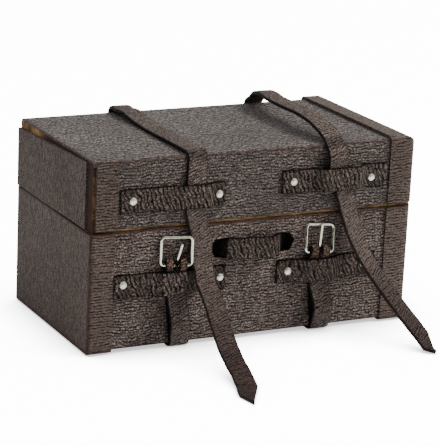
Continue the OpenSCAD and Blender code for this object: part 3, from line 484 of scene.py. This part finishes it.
base_leather = leather(
    "base leather", on_faces, dark=(0.006, 0.003, 0.0025, 1), mid=(0.048, 0.034, 0.029, 1),
    pale=(0.25, 0.205, 0.182, 1), grain=(0.52, 0.42, 0.45, 0.6), rough=0.6, relief=0.18, gloss=0.14,
    box=BASE_BOX, calm=0.4, dark_where=under_belts)
lid_leather = leather(
    "lid leather", on_faces, dark=(0.005, 0.0025, 0.002, 1), mid=(0.036, 0.026, 0.0225, 1),
    pale=(0.2, 0.168, 0.15, 1), grain=(0.52, 0.42, 0.4, 0.65), rough=0.5, relief=0.2, gloss=0.28,
    box=LID_BOX, calm=0.1)
base_end_leather = leather(
    "base end leather", on_faces, dark=(0.008, 0.005, 0.004, 1), mid=(0.046, 0.033, 0.028, 1),
    pale=(0.13, 0.1, 0.083, 1), grain=(0.5, 0.3, 0.6, 0.3), rough=0.6, relief=0.1, gloss=0.16,
    box=BASE_BOX)
lid_end_leather = leather(
    "lid end leather", on_faces, dark=(0.008, 0.005, 0.004, 1), mid=(0.042, 0.03, 0.025, 1),
    pale=(0.12, 0.091, 0.075, 1), grain=(0.5, 0.36, 0.55, 0.35), rough=0.6, relief=0.12, gloss=0.16,
    calm=0.3)
belt_leather = leather(
    "belt leather", strap_run, dark=(0.005, 0.0025, 0.002, 1), mid=(0.042, 0.029, 0.024, 1),
    pale=(0.19, 0.15, 0.13, 1), grain=(0.5, 0.42, 0.5, 0.5), rough=0.58, relief=0.14, gloss=0.18,
    edge=EDGE_AND_SHADE_BLACK)
tail_leather = leather(
    "tail leather", strap_run, dark=(0.006, 0.003, 0.0022, 1), mid=(0.041, 0.029, 0.0245, 1),
    pale=(0.137, 0.107, 0.093, 1), grain=(0.48, 0.42, 0.6, 0.35), rough=0.5, relief=0.09, gloss=0.2,
    edge=TAIL_CUT, tip=TAIL_TINT)
keeper_leather = leather(
    "keeper leather", strap_run, dark=(0.001, 0.0005, 0.0004, 1), mid=(0.015, 0.0095, 0.0078, 1),
    pale=(0.165, 0.128, 0.108, 1), grain=(0.78, 0.62, 0.35, 0.5), rough=0.55, relief=0.28, gloss=0.14,
    edge=EDGE_AND_SHADE_BLACK)
loop_leather = leather(
    "loop leather", strap_run, dark=(0.002, 0.0008, 0.0006, 1), mid=(0.042, 0.024, 0.017, 1),
    pale=(0.185, 0.112, 0.08, 1), grain=(0.42, 0.6, 0.4, 0.6), rough=0.5, relief=0.16, gloss=0.18,
    edge=EDGE_AND_SHADE_BLACK)
card = bare_board()
rim_board = bare_board("rim board", low_stain)
side_board = bare_board("side board", left_face_shade)
left_board = bare_board("left board", dark_but_back)
paper = lining_paper()
wire = polished("polished wire", WIRE_BRIGHT, WIRE_DULL, WIRE_ROUGH)
prong_metal = [polished(f"{side} prong metal", WIRE_BRIGHT, WIRE_DULL, WIRE_ROUGH, (x, BAR_Y, z))
               for side, x, z in zip(SIDE, BUCKLE_X, BAR_Z)]
rivet_metal = polished("rivet metal", (1.0, 0.98, 0.87, 1), (0.8, 0.77, 0.64, 1), 0.42)


def unit(v):
    return v / np.linalg.norm(v)


def smooth(t):
    """0 to 1 as t goes from 0 to 1, level at both ends."""
    t = min(max(t, 0.0), 1.0)
    return t * t * (3 - 2 * t)


def wave(at, seed, pitch):
    """A soft uneven line, the same each time for the same seed."""
    return noise.noise(Vector((at / pitch, seed * 7.31, seed * 3.17)))


def curve(stations, step):
    """Points on a smooth curve through the stations, step millimetres apart or less. A station's
    first three values are its place; the rest go from one station to the next with it. A station
    given twice makes a sharp corner."""
    p = [np.array(s, float) for s in stations]

    def far(a, b):
        return np.linalg.norm((b - a)[:3])

    slopes = []
    for i, here in enumerate(p):
        before, after = p[max(i - 1, 0)], p[min(i + 1, len(p) - 1)]
        u, v = far(before, here), far(here, after)
        if u == 0:
            slopes.append((after - here) / v)
        elif v == 0:
            slopes.append((here - before) / u)
        else:
            slopes.append(((here - before) * v / u + (after - here) * u / v) / (u + v))
    points = []
    for b, c, start, end in zip(p, p[1:], slopes, slopes[1:]):
        l = far(b, c)
        count = max(1, math.ceil(l / step))
        for k in range(count):
            t = k / count
            lean = start * t * (1 - t) ** 2 - end * t * t * (1 - t)
            points.append(b + (c - b) * t * t * (3 - 2 * t) + lean * l)
    return points + [p[-1]]


def add_piece(name, points, faces, material, uv, marks):
    """A mesh from millimetre points; uv holds one pair for each corner, marks named lists of one
    value a point."""
    mesh = bpy.data.meshes.new(name)
    mesh.from_pydata([tuple(p) for p in (np.array(points) + MIDDLE) * MM], [], faces)
    layer = mesh.uv_layers.new(name="strap")
    layer.data.foreach_set("uv", np.array(uv, np.float32).ravel())
    for mark, values in marks.items():
        mesh.attributes.new(mark, "FLOAT", "POINT").data.foreach_set("value", np.array(values, np.float32))
    mesh.materials.append(material)
    mesh.validate()
    mesh.shade_smooth()
    made = bpy.data.objects.new(name, mesh)
    bpy.context.collection.objects.link(made)
    return made


def strap_section(to_left, to_right, t, corner=0.15, crown=0.05):
    """Outline of a strap from its left outer edge round to it again: across, up, and how near
    the cut edge."""
    corner = min(corner, 0.45 * t)
    outline = []
    for s in (-1, -0.8, -0.5, -0.2, 0.2, 0.5, 0.8, 1):
        half = to_left if s < 0 else to_right
        near = max(0, abs(s) - 0.8) * 2.5
        outline.append((s * (half - corner), t / 2 + crown * (1 - s * s), near))
    for a in (55, 15, -15, -55):
        h = math.copysign(t / 2 - corner, a)
        outline.append((to_right - corner + corner * math.cos(math.radians(a)),
                        h + corner * math.sin(math.radians(a)), 1))
    for s in (1, 0.4, -0.4, -1):
        half = to_left if s < 0 else to_right
        outline.append((s * (half - corner), -t / 2, max(0, abs(s) - 0.8) * 2.5))
    for a in (-55, -15, 15, 55):
        h = math.copysign(t / 2 - corner, a)
        outline.append((-to_left + corner - corner * math.cos(math.radians(a)),
                        h + corner * math.sin(math.radians(a)), 1))
    return outline


def strap(name, rings, material, seed, waver, wear_and_shade=None):
    """A leather strap. Each ring is (place, across, left half, right half, thickness); the outer
    face looks along run x across. waver is how uneven its edges are. The last argument holds how dark
    each ring is, from rubbing or as painted shade."""
    places = [np.array(r[0], float) for r in rings]
    points, edge, far, uv_rows = [], [], [], []
    along = 0.0
    for i, (place, across, to_left, to_right, t) in enumerate(rings):
        if i:
            along += np.linalg.norm(places[i] - places[i - 1])
        run = unit(places[min(i + 1, len(rings) - 1)] - places[max(i - 1, 0)])
        across = unit(np.array(across, float) - run * (run @ np.array(across, float)))
        up = np.cross(run, across)
        a = to_left * (1 + waver * wave(along, seed, 1.7))
        b = to_right * (1 + waver * wave(along, seed + 5, 1.4))
        outline = strap_section(a, b, t)
        lift = 0.03 * wave(along, seed + 9, 2.2)
        row, girth = [], 0.0
        for j, (x, y, e) in enumerate(outline):
            points.append(np.array(place) + across * x + up * (y + lift))
            # A ring's rubbing or painted shade darkens it like a cut edge.
            edge.append(max(e, wear_and_shade[i]) if wear_and_shade else e)
            far.append(i / (len(rings) - 1))
            row.append(girth)
            after = outline[(j + 1) % len(outline)]
            girth += math.hypot(after[0] - x, after[1] - y)
        row.append(girth)
        uv_rows.append([(along + seed * 13, v - row[7] / 2) for v in row])
    n = len(outline)
    faces, uv = [], []
    for i in range(len(rings) - 1):
        for j in range(n):
            k = (j + 1) % n
            faces.append((i * n + j, (i + 1) * n + j, (i + 1) * n + k, i * n + k))
            uv += [uv_rows[i][j], uv_rows[i + 1][j], uv_rows[i + 1][j + 1], uv_rows[i][j + 1]]
    last = (len(rings) - 1) * n
    faces.append(tuple(range(n)))
    uv += uv_rows[0][:n]
    faces.append(tuple(last + j for j in reversed(range(n))))
    uv += uv_rows[-1][:n][::-1]
    return add_piece(name, points, faces, material, uv, {"cut_edge_wear_and_shade": edge, "far": far})


def swept(name, stations, material, seed):
    """A belt leather strap through stations of x, y, z, turn about the upright, left half and right
    half, rubbed dark where it bends over the lid's front edge."""
    rings, wear_and_shade = [], []
    for x, y, z, turn, to_left, to_right in curve(stations, 0.4):
        a = math.radians(turn)
        rings.append(((x, y, z), (math.cos(a), math.sin(a), 0), to_left, to_right, BELT_T))
        wear_and_shade.append(0.52 * smooth(1.7 - math.hypot(y + COVER_Y, z - TOP_Z - 0.2)))
    return strap(name, rings, material, seed, 0.05, wear_and_shade)


def belt_stations(s):
    """From behind the chape down the front, where it stands off below the keeper, under the base,
    up the back and over the lid to under the lid keeper."""
    half, off = BELT_W / 2, BELT_T / 2
    r = BEND_R + off + 0.01
    bend_y, bend_z = COVER_Y - BEND_R, FOOT_Z + BEND_R
    low = BELT_X[s]
    drop = BAR_Z[s] - BELT_END_BELOW_BAR - FOOT_Z
    stations = []
    for f in (0.97, 0.85, 0.7, 0.6, 0.45, 0.3, 0.15):
        swell = 0.25 * math.sin(math.pi * min(f / 0.8, 1))
        swell += BULGE[s] * math.sin(math.pi * min(f / 0.62, 1)) ** 2
        x, z = low + belt_slope(s) * f * drop, FOOT_Z + f * drop
        stations.append((x, -COVER_Y - off - swell - 0.02, z, 0))
    arc = [math.radians(a) for a in range(0, 91, 15)]
    stations += [(low, -bend_y - r * math.cos(a), bend_z - r * math.sin(a), 0) for a in arc]
    stations += [(low, y, bend_z - r + 0.04, 0) for y in (1 - bend_y, bend_y - 1)]
    stations += [(low, bend_y + r * math.cos(a), bend_z - r * math.sin(a), 0) for a in reversed(arc)]
    stations += [(low, COVER_Y + off + 0.02, z, 0) for z in (7, 13, 18.5)]
    x, dx = LID_BELT_X[s], BELT_X[s] - LID_BELT_X[s]
    off += 0.02
    back = COVER_Y + off
    stations += [(low, back + 0.05, HINGE_Z, 0)]
    crest = TOP_Z + off + ARCH[s]
    front = -COVER_Y - SLACK[s] - BELT_T / 2
    lid_low, high = LID_KEEPER_LOW[s], LID_KEEPER_HIGH[s]
    if s == LEFT:
        stations += [
            (x + 0.6 * dx, back + 0.05, 27.2, 0), (x, back + 0.06, TOP_Z - 1.7, 0),
            (x, back + 0.08, TOP_Z - 0.6, 0), (x, back - 0.5, TOP_Z + 0.7, 0),
            (x, COVER_Y - 2.5, crest - 0.42 * ARCH[s], 0), (x, COVER_Y - 5.6, crest - 0.22, 0),
            (x, COVER_Y - 8.8, crest - 0.65 * ARCH[s], 0), (x, COVER_Y - 11.2, TOP_Z + off + 0.12, 0),
            (x, COVER_Y - 14.5, TOP_Z + off + 0.02, 0), (x, 7 - COVER_Y, TOP_Z + off + 0.1, 0),
            (x, 2 - COVER_Y, TOP_Z + off + 0.1, 0), (x, 0.3 - COVER_Y, TOP_Z + off, 0),
            (x, -COVER_Y - 0.38, TOP_Z - 0.32, 0), (x, -COVER_Y - off - 0.04, TOP_Z - 1.2, 0),
            (x, front, high, 0), (x, front, lid_low + 1, 0)]
    else:
        stations += [
            (x + 0.3 * dx, back + 0.08, 27.2, 0), (x + 0.8, back + 0.08, TOP_Z - 1.5, 0),
            (x + 1.05, back + 0.08, TOP_Z - 0.5, 0), (x + 1.1, back - 0.4, TOP_Z + 0.45, 0),
            (x + 1.05, COVER_Y - 1.4, TOP_Z + 1.2, 0), (x + 0.9, COVER_Y - 2.3, crest - 1.2, 0),
            (x + 0.7, COVER_Y - 3.7, crest - 0.4, 0), (x + 0.35, COVER_Y - 6, crest, 0),
            (x, COVER_Y - 10, crest - 0.1, 0), (x, 0, crest - 0.2, 0), (x, 9 - COVER_Y, crest - 0.25, 0),
            (x, 5.2 - COVER_Y, crest - 0.8, 0), (x, 2.2 - COVER_Y, TOP_Z + 1.35, 0),
            (x, 0.5 - COVER_Y, TOP_Z + off + 0.2, 0), (x, -COVER_Y - 0.75, TOP_Z - 0.5, 0),
            (x + 0.1, front - 0.75, TOP_Z - 2, 3.2), (x + 0.3, front - 0.35, high + 0.3, 6.4),
            (x + 0.7, front, high - 0.7, 8), (x + 1.55, front, lid_low + 1.5, 8)]
    return [station + (half, half) for station in stations]


def tail_stations(s):
    """From under the lid keeper to the cut tip on the floor. The two corners of the cut are each
    given twice."""
    x, half = LID_BELT_X[s], BELT_W / 2
    y = -COVER_Y - SLACK[s] - BELT_T / 2
    rest = BELT_T / 2 + 0.03
    if s == LEFT:
        top, run, drift = 24.0, 28.6 - 0.33, -2.05
        places = [
            (x, y, top + 1.2, 0), (x, y, top - 0.5, 0), (x + 0.35, y - 0.3, 0.9 * top, 0),
            (x + 0.75, y - 0.5, 0.835 * top, 0), (x + 1.1, y - 0.7, 0.775 * top, 0),
            (x + 1.15, y - 0.85, 0.68 * top, 0), (x + 1.12, y - 1.1, 0.61 * top, 0),
            (x + 1.05, y - 2, 0.565 * top, 0), (x + 1, y - 2.85, 0.5 * top, 0),
            (x + 0.95, y - 5, 0.44 * top, 0), (x + 0.8, y - 8, 0.33 * top, 0),
            (x + 0.6, y - 11, 0.225 * top, 0), (x + 0.3, y - 0.52 * run, 0.13 * top, 0),
            (x, y - 0.68 * run, 0.055 * top, 0)]
        right_corner = (x + 0.25 * drift, y - 0.78 * run, rest + 0.2, 0, half, half)
        left_corner = (x + 0.79 * drift, y - 0.9 * run, rest, 0, half, 0.85)
        tip = (x + 1.27 * drift, y - 1.012 * run, rest, 0, 0.03, 0.03)
    else:
        top, run, d, t = 24.433, 17.1 - 0.6, 12.35, 8
        places = [
            (x + 1.8, y, top + 1.2, t), (x + 2.185, y, top, t), (x + 2.515, y, top - 1.1, t),
            (x + 0.21 * d, y - 0.01 * run, 0.93 * top, t + 2),
            (x + 0.24 * d, y - 0.05 * run, 0.84 * top, t + 5),
            (x + 0.3 * d, y - 0.1 * run, 0.72 * top, t + 8),
            (x + 0.36 * d, y - 0.17 * run, 0.62 * top, t + 10),
            (x + 0.42 * d, y - 0.24 * run, 0.54 * top, t + 11),
            (x + 0.55 * d, y - 0.44 * run, 0.39 * top, t + 12),
            (x + 0.67 * d, y - 0.65 * run, 0.26 * top, t + 12)]
        right_corner = (x + 0.86 * d, y - 0.86 * run, 0.1 * top, t + 12, half, half)
        left_corner = (x + 0.925 * d, y - 0.985 * run, 0.03 * top, t + 12, half, 0.5)
        tip = (x + 0.95 * d, y - 1.075 * run, rest, t + 12, 0.25, -0.2)
    return [p + (half, half) for p in places] + [right_corner] * 2 + [left_corner] * 2 + [tip]


def in_frame(xyz):
    """A millimetre place as metres in the frame."""
    return Vector((np.array(xyz) + MIDDLE) * MM)


def make_belts():
    """The two full belts, which cross the hinge, and their loose tails."""
    for s in (LEFT, RIGHT):
        belt = swept(f"{SIDE[s]}_belt", belt_stations(s), belt_leather, 1.0 + s)
        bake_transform(belt)
        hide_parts(f"{SIDE[s]}_lower_belt", f"{SIDE[s]}_upper_belt")
        tail = swept(f"{SIDE[s]}_tail_strap", tail_stations(s), tail_leather, 3.0 + s)
        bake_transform(tail)
        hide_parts(f"{SIDE[s]}_tail")


def keeper(name, start, end, z, rivets, over, rise, seed):
    """A riveted strip that bridges its belt, which lies between the two values of over, and is
    drawn thinner there, with painted shade round its rivets where the leather dimples."""
    flat = 0.875
    slopes = (min(2.4, over[0] - rivets[0][0] - flat), min(2.4, rivets[1][0] - flat - over[1]))
    rings, wear_and_shade = [], []
    count = 64
    for i in range(count + 1):
        x = start + (end - start) * i / count
        up = rise * smooth((x - over[0]) / slopes[0] + 1) * smooth((over[1] - x) / slopes[1] + 1)
        sunk = sum(0.06 * math.exp(-((x - r[0]) / 0.7) ** 2) for r in rivets)
        half = KEEPER_H / 2 - 0.12 * (1 - smooth(min(x - start, end - x) / 0.3))
        t = KEEPER_T - 0.1 * up / rise
        rings.append(((x, -COVER_Y - up - t / 2 + sunk * 0.5, z), (0, 0, 1), half, half, t))
        # Painted shade round each rivet, where the leather dimples.
        wear_and_shade.append(0.5 * max(smooth((1.35 - abs(x - r[0])) / 0.5) for r in rivets))
    return strap(name, rings, keeper_leather, seed, 0.03, wear_and_shade)


def make_keepers():
    """Each belt's keeper on the base and on the lid."""
    for s in (LEFT, RIGHT):
        middle = BELT_X[s] + (BASE_KEEPER_Z[s] - FOOT_Z) * belt_slope(s)
        over_base = middle - 2.2, middle + 2.2
        over_lid = LID_BELT_X[s] - 2.05, LID_BELT_X[s] + (0, 2)[s] + 2.05
        for body, ends, z, over, rise, seed in (
                ("base", BASE_KEEPER_X[s], BASE_KEEPER_Z[s], over_base, (1.17, 1.24)[s], 5.0 + s),
                ("lid", LID_KEEPER_X[s], LID_KEEPER_Z[s], over_lid, (0.75, 1.27)[s], 7.0 + s)):
            rivets = RIVETS[body][2 * s:2 * s + 2]
            made = keeper(f"{SIDE[s]}_{body}_keeper", *ends, z, rivets, over, rise, seed)
            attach(made, body)
            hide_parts(f"{body}_{SIDE[s]}_keeper")


def make_handle():
    """Loose strap whose ends turn in through the two slots and are glued down inside."""
    half, inner = 5.25, -1.8
    route = [(-half - 3, inner), (-half - 1.9, inner), (-half - 1.15, inner + 0.25), (-half - 0.35, -0.55),
             (-half + 0.4, 0.3), (-half + 2, 0.95), (0, 1.4), (half - 2.6, 1.65), (half - 1.1, 0.95),
             (half - 0.3, 0.05), (half + 0.35, -0.75), (half + 1.15, inner + 0.25), (half + 1.9, inner),
             (half + 3, inner)]
    rings, wear_and_shade = [], []
    for p in curve([(x, -COVER_Y - out, HANDLE_Z) for x, out in route], 0.25):
        h = 1.45 + 0.45 * smooth((half - abs(p[0])) / 0.7)
        rings.append((p + (HANDLE_X, 0, 0), (0, 0, 1), h, h, 0.5))
        # Painted shade: the strap darkens towards its ends, where it goes into the slots.
        wear_and_shade.append(smooth((abs(p[0]) - half + 0.9) / 0.9))
    made = strap("handle_strap", rings, keeper_leather, 11.0, 0.04, wear_and_shade)
    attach(made, "base")
    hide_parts("handle")


def at_bar(s, local, turned):
    """A point near a buckle's bar in the case's directions; turned is how far it follows the bar's
    turn."""
    tilt = Matrix.Rotation(math.radians(TILT[s]), 3, "Y")
    turn = Matrix.Rotation(math.radians(-TURN[s] * turned), 3, "Z")
    return np.array(tilt @ turn @ Vector(local))


def make_chapes():
    """Each chape wraps its bar with two lugs beside the prong and runs down under the keeper."""
    for s in (LEFT, RIGHT):
        centre = np.array([BUCKLE_X[s], BAR_Y, BAR_Z[s]])
        gap = 0.32 + 0.825 * math.sin(math.radians(PRONG_TURN[s]))
        half = BELT_W / 2
        parts = []
        for x0, x1 in ((-half, -gap), (gap, half)):
            middle, w = (x0 + x1) / 2, (x1 - x0) / 2
            route = [(0.43, -1.5, 0.1, 0.3), (0.45, -0.9, 0.6, 0.38), (0.54, -0.35, 1, 0.46)]
            for a in range(0, 241, 20):
                full = 0.3 * math.exp(-((a - 105) / 45) ** 2)
                r = 0.575 + full
                y, z = r * math.cos(math.radians(a)), r * math.sin(math.radians(a))
                route.append((y, z, 1, 0.48 + 0.6 * full))
            route += [(0.05, -0.75, 0.8, 0.4), (0.22, -1.15, 0.4, 0.26)]
            rings = [(centre + at_bar(s, (middle, y, z), f), at_bar(s, (-1, 0, 0), f), w, w, t)
                     for y, z, f, t in route]
            parts.append(strap(f"{SIDE[s]}_lug", rings, loop_leather, 13.0 + s + x0, 0.03))
        route = (0.39, -2.3, 0), (0.39, -1.8, 0), (0.39, -1.3, 0), (0.37, -1.0, 0.2), (0.32, -0.75, 0.5)
        rings = [(centre + at_bar(s, (0, y, z), f), at_bar(s, (-1, 0, 0), f), half, half, 0.5)
                 for y, z, f in route]
        parts.append(strap(f"{SIDE[s]}_tab", rings, loop_leather, 17.0 + s, 0.03))
        made = joined(f"{SIDE[s]}_chape_loop", parts)
        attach(made, "base")
        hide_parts(f"{SIDE[s]}_chape")


def joined(name, parts):
    """One object of several, by the names of their layers."""
    with bpy.context.temp_override(active_object=parts[0], selected_editable_objects=parts, object=parts[0]):
        bpy.ops.object.join()
    parts[0].name = name
    parts[0].data.name = name
    return parts[0]


def rivet_tree():
    """Geometry nodes that set a domed head with a thin collar at each point."""
    tree = bpy.data.node_groups.new("rivet heads", "GeometryNodeTree")
    tree.interface.new_socket("Geometry", in_out="INPUT", socket_type="NodeSocketGeometry")
    for label, value in HEAD.items():
        tree.interface.new_socket(label, in_out="INPUT", socket_type=FLOAT).default_value = value
    tree.interface.new_socket("Metal", in_out="INPUT", socket_type="NodeSocketMaterial")
    tree.interface.new_socket("Geometry", in_out="OUTPUT", socket_type="NodeSocketGeometry")
    given, out = tree.nodes.new("NodeGroupInput"), tree.nodes.new("NodeGroupOutput")
    half = sum_of(tree, "MULTIPLY", given.outputs["Head Diameter"], 0.5 * MM)
    high = sum_of(tree, "MULTIPLY", given.outputs["Head Height"], MM)
    thick = sum_of(tree, "MULTIPLY", given.outputs["Collar"], MM)
    ball = put(tree, "GeometryNodeMeshUVSphere", Segments=28, Rings=16, Radius=1.0).outputs[0]
    dome = put(tree, "GeometryNodeTransform", Geometry=ball,
               Scale=put(tree, "ShaderNodeCombineXYZ", X=half, Y=half, Z=high).outputs[0]).outputs[0]
    rim = sum_of(tree, "MULTIPLY", half, 1.06)
    collar = put(tree, "GeometryNodeTransform", Geometry=ball,
                 Scale=put(tree, "ShaderNodeCombineXYZ", X=rim, Y=rim, Z=thick).outputs[0]).outputs[0]
    head = tree.nodes.new("GeometryNodeJoinGeometry")
    tree.links.new(dome, head.inputs[0])
    tree.links.new(collar, head.inputs[0])
    heads = put(tree, "GeometryNodeInstanceOnPoints", Points=given.outputs["Geometry"],
                Instance=head.outputs[0], Rotation=(math.radians(90), 0, 0)).outputs[0]
    heads = put(tree, "GeometryNodeRealizeInstances", Geometry=heads).outputs[0]
    heads = put(tree, "GeometryNodeSetMaterial", Geometry=heads, Material=given.outputs["Metal"]).outputs[0]
    tree.links.new(heads, out.inputs[0])
    return tree


def make_rivets():
    """Two rivet heads on each keeper, in one piece for each body."""
    tree = rivet_tree()
    for body, places in RIVETS.items():
        points = bpy.data.meshes.new("rivet places")
        y = -COVER_Y - KEEPER_T
        points.from_pydata([tuple(in_frame((x, y, z))) for x, z in places], [], [])
        seed = bpy.data.objects.new("rivet places", points)
        bpy.context.collection.objects.link(seed)
        modifier = seed.modifiers.new("heads", "NODES")
        modifier.node_group = tree
        sockets = {item.name: item.identifier for item in tree.interface.items_tree
                   if item.in_out == "INPUT"}
        for label, value in HEAD.items():
            modifier[sockets[label]] = value
        modifier[sockets["Metal"]] = rivet_metal
        ready = seed.evaluated_get(bpy.context.evaluated_depsgraph_get())
        mesh = bpy.data.meshes.new_from_object(ready)
        bpy.data.objects.remove(seed)
        mesh.shade_smooth()
        made = bpy.data.objects.new(f"{body}_rivet_heads", mesh)
        bpy.context.collection.objects.link(made)
        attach(made, body)
        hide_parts(f"{body}_left_rivets", f"{body}_right_rivets")


def make_hinge():
    """The back leather where it bends between the base and the lid."""
    middle, half = -0.6, 25.4
    route = [(15.91, 20.1), (16.05, 20.4), (16.08, 20.7), (15.97, HINGE_Z), (16.08, 21.25),
             (16.05, 21.55), (15.91, 21.85)]
    rings = [((middle, y, z), (-1, 0, 0), half, half, 0.16)
             for _, y, z in curve([(0, y, z) for y, z in route], 0.08)]
    made = strap("hinge_leather", rings, belt_leather, 21.0, 0.0)
    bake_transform(made)


def lay_floor():
    """A white floor that shines to the camera alone, and less so close under the case, which paints a soft
    contact shadow there.
    """
    wide, low = 4, -2e-5
    corners = [(-wide, -wide, low), (wide, -wide, low), (wide, wide, low), (-wide, wide, low)]
    floor = bpy.data.objects.new("floor", bpy.data.meshes.new("floor"))
    floor.data.from_pydata(corners, [], [(0, 1, 2, 3)])
    bpy.context.collection.objects.link(floor)
    paint, tree, shader = new_material("floor paint")
    shader.inputs["Base Color"].default_value = (0.9, 0.9, 0.9, 1)
    shader.inputs["Roughness"].default_value = 0.9
    shader.inputs["Emission Color"].default_value = (1, 1, 1, 1)
    seen = tree.nodes.new("ShaderNodeLightPath").outputs["Is Camera Ray"]
    # Painted shadow: the glow fades where the case is near.
    open_sky = put(tree, "ShaderNodeAmbientOcclusion", {"samples": 8}, Distance=0.012).outputs["AO"]
    glow = sum_of(tree, "MULTIPLY", seen, span(tree, open_sky, 0.35, 0.97, 0.8, 13.0))
    tree.links.new(glow, shader.inputs["Emission Strength"])
    floor.data.materials.append(paint)


def dress_cad():
    """Gives every CAD solid that stays its own finish."""
    finishes = {
        "board": card, "base_front_board": rim_board, "lid_front_board": side_board,
        "lid_left_board": left_board, "lid_top_board": left_board,
        "base_cover": base_leather, "lid_cover": lid_leather,
        "base_left_cap": base_end_leather, "base_right_cap": base_end_leather,
        "lid_right_cap": lid_end_leather, "panel": lid_end_leather, "bands": lid_end_leather,
        "lining": paper, "buckle": wire,
        "left_prong": prong_metal[LEFT], "right_prong": prong_metal[RIGHT]}
    for name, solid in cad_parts.items():
        # A later, longer name here takes over from a shorter one
        for word, material in finishes.items():
            if name.endswith(word):
                for place in solid.material_slots:
                    place.material = material


place_camera()
set_studio()
lay_floor()

make_belts()
make_keepers()
make_handle()
make_chapes()
make_rivets()
make_hinge()
dress_cad()
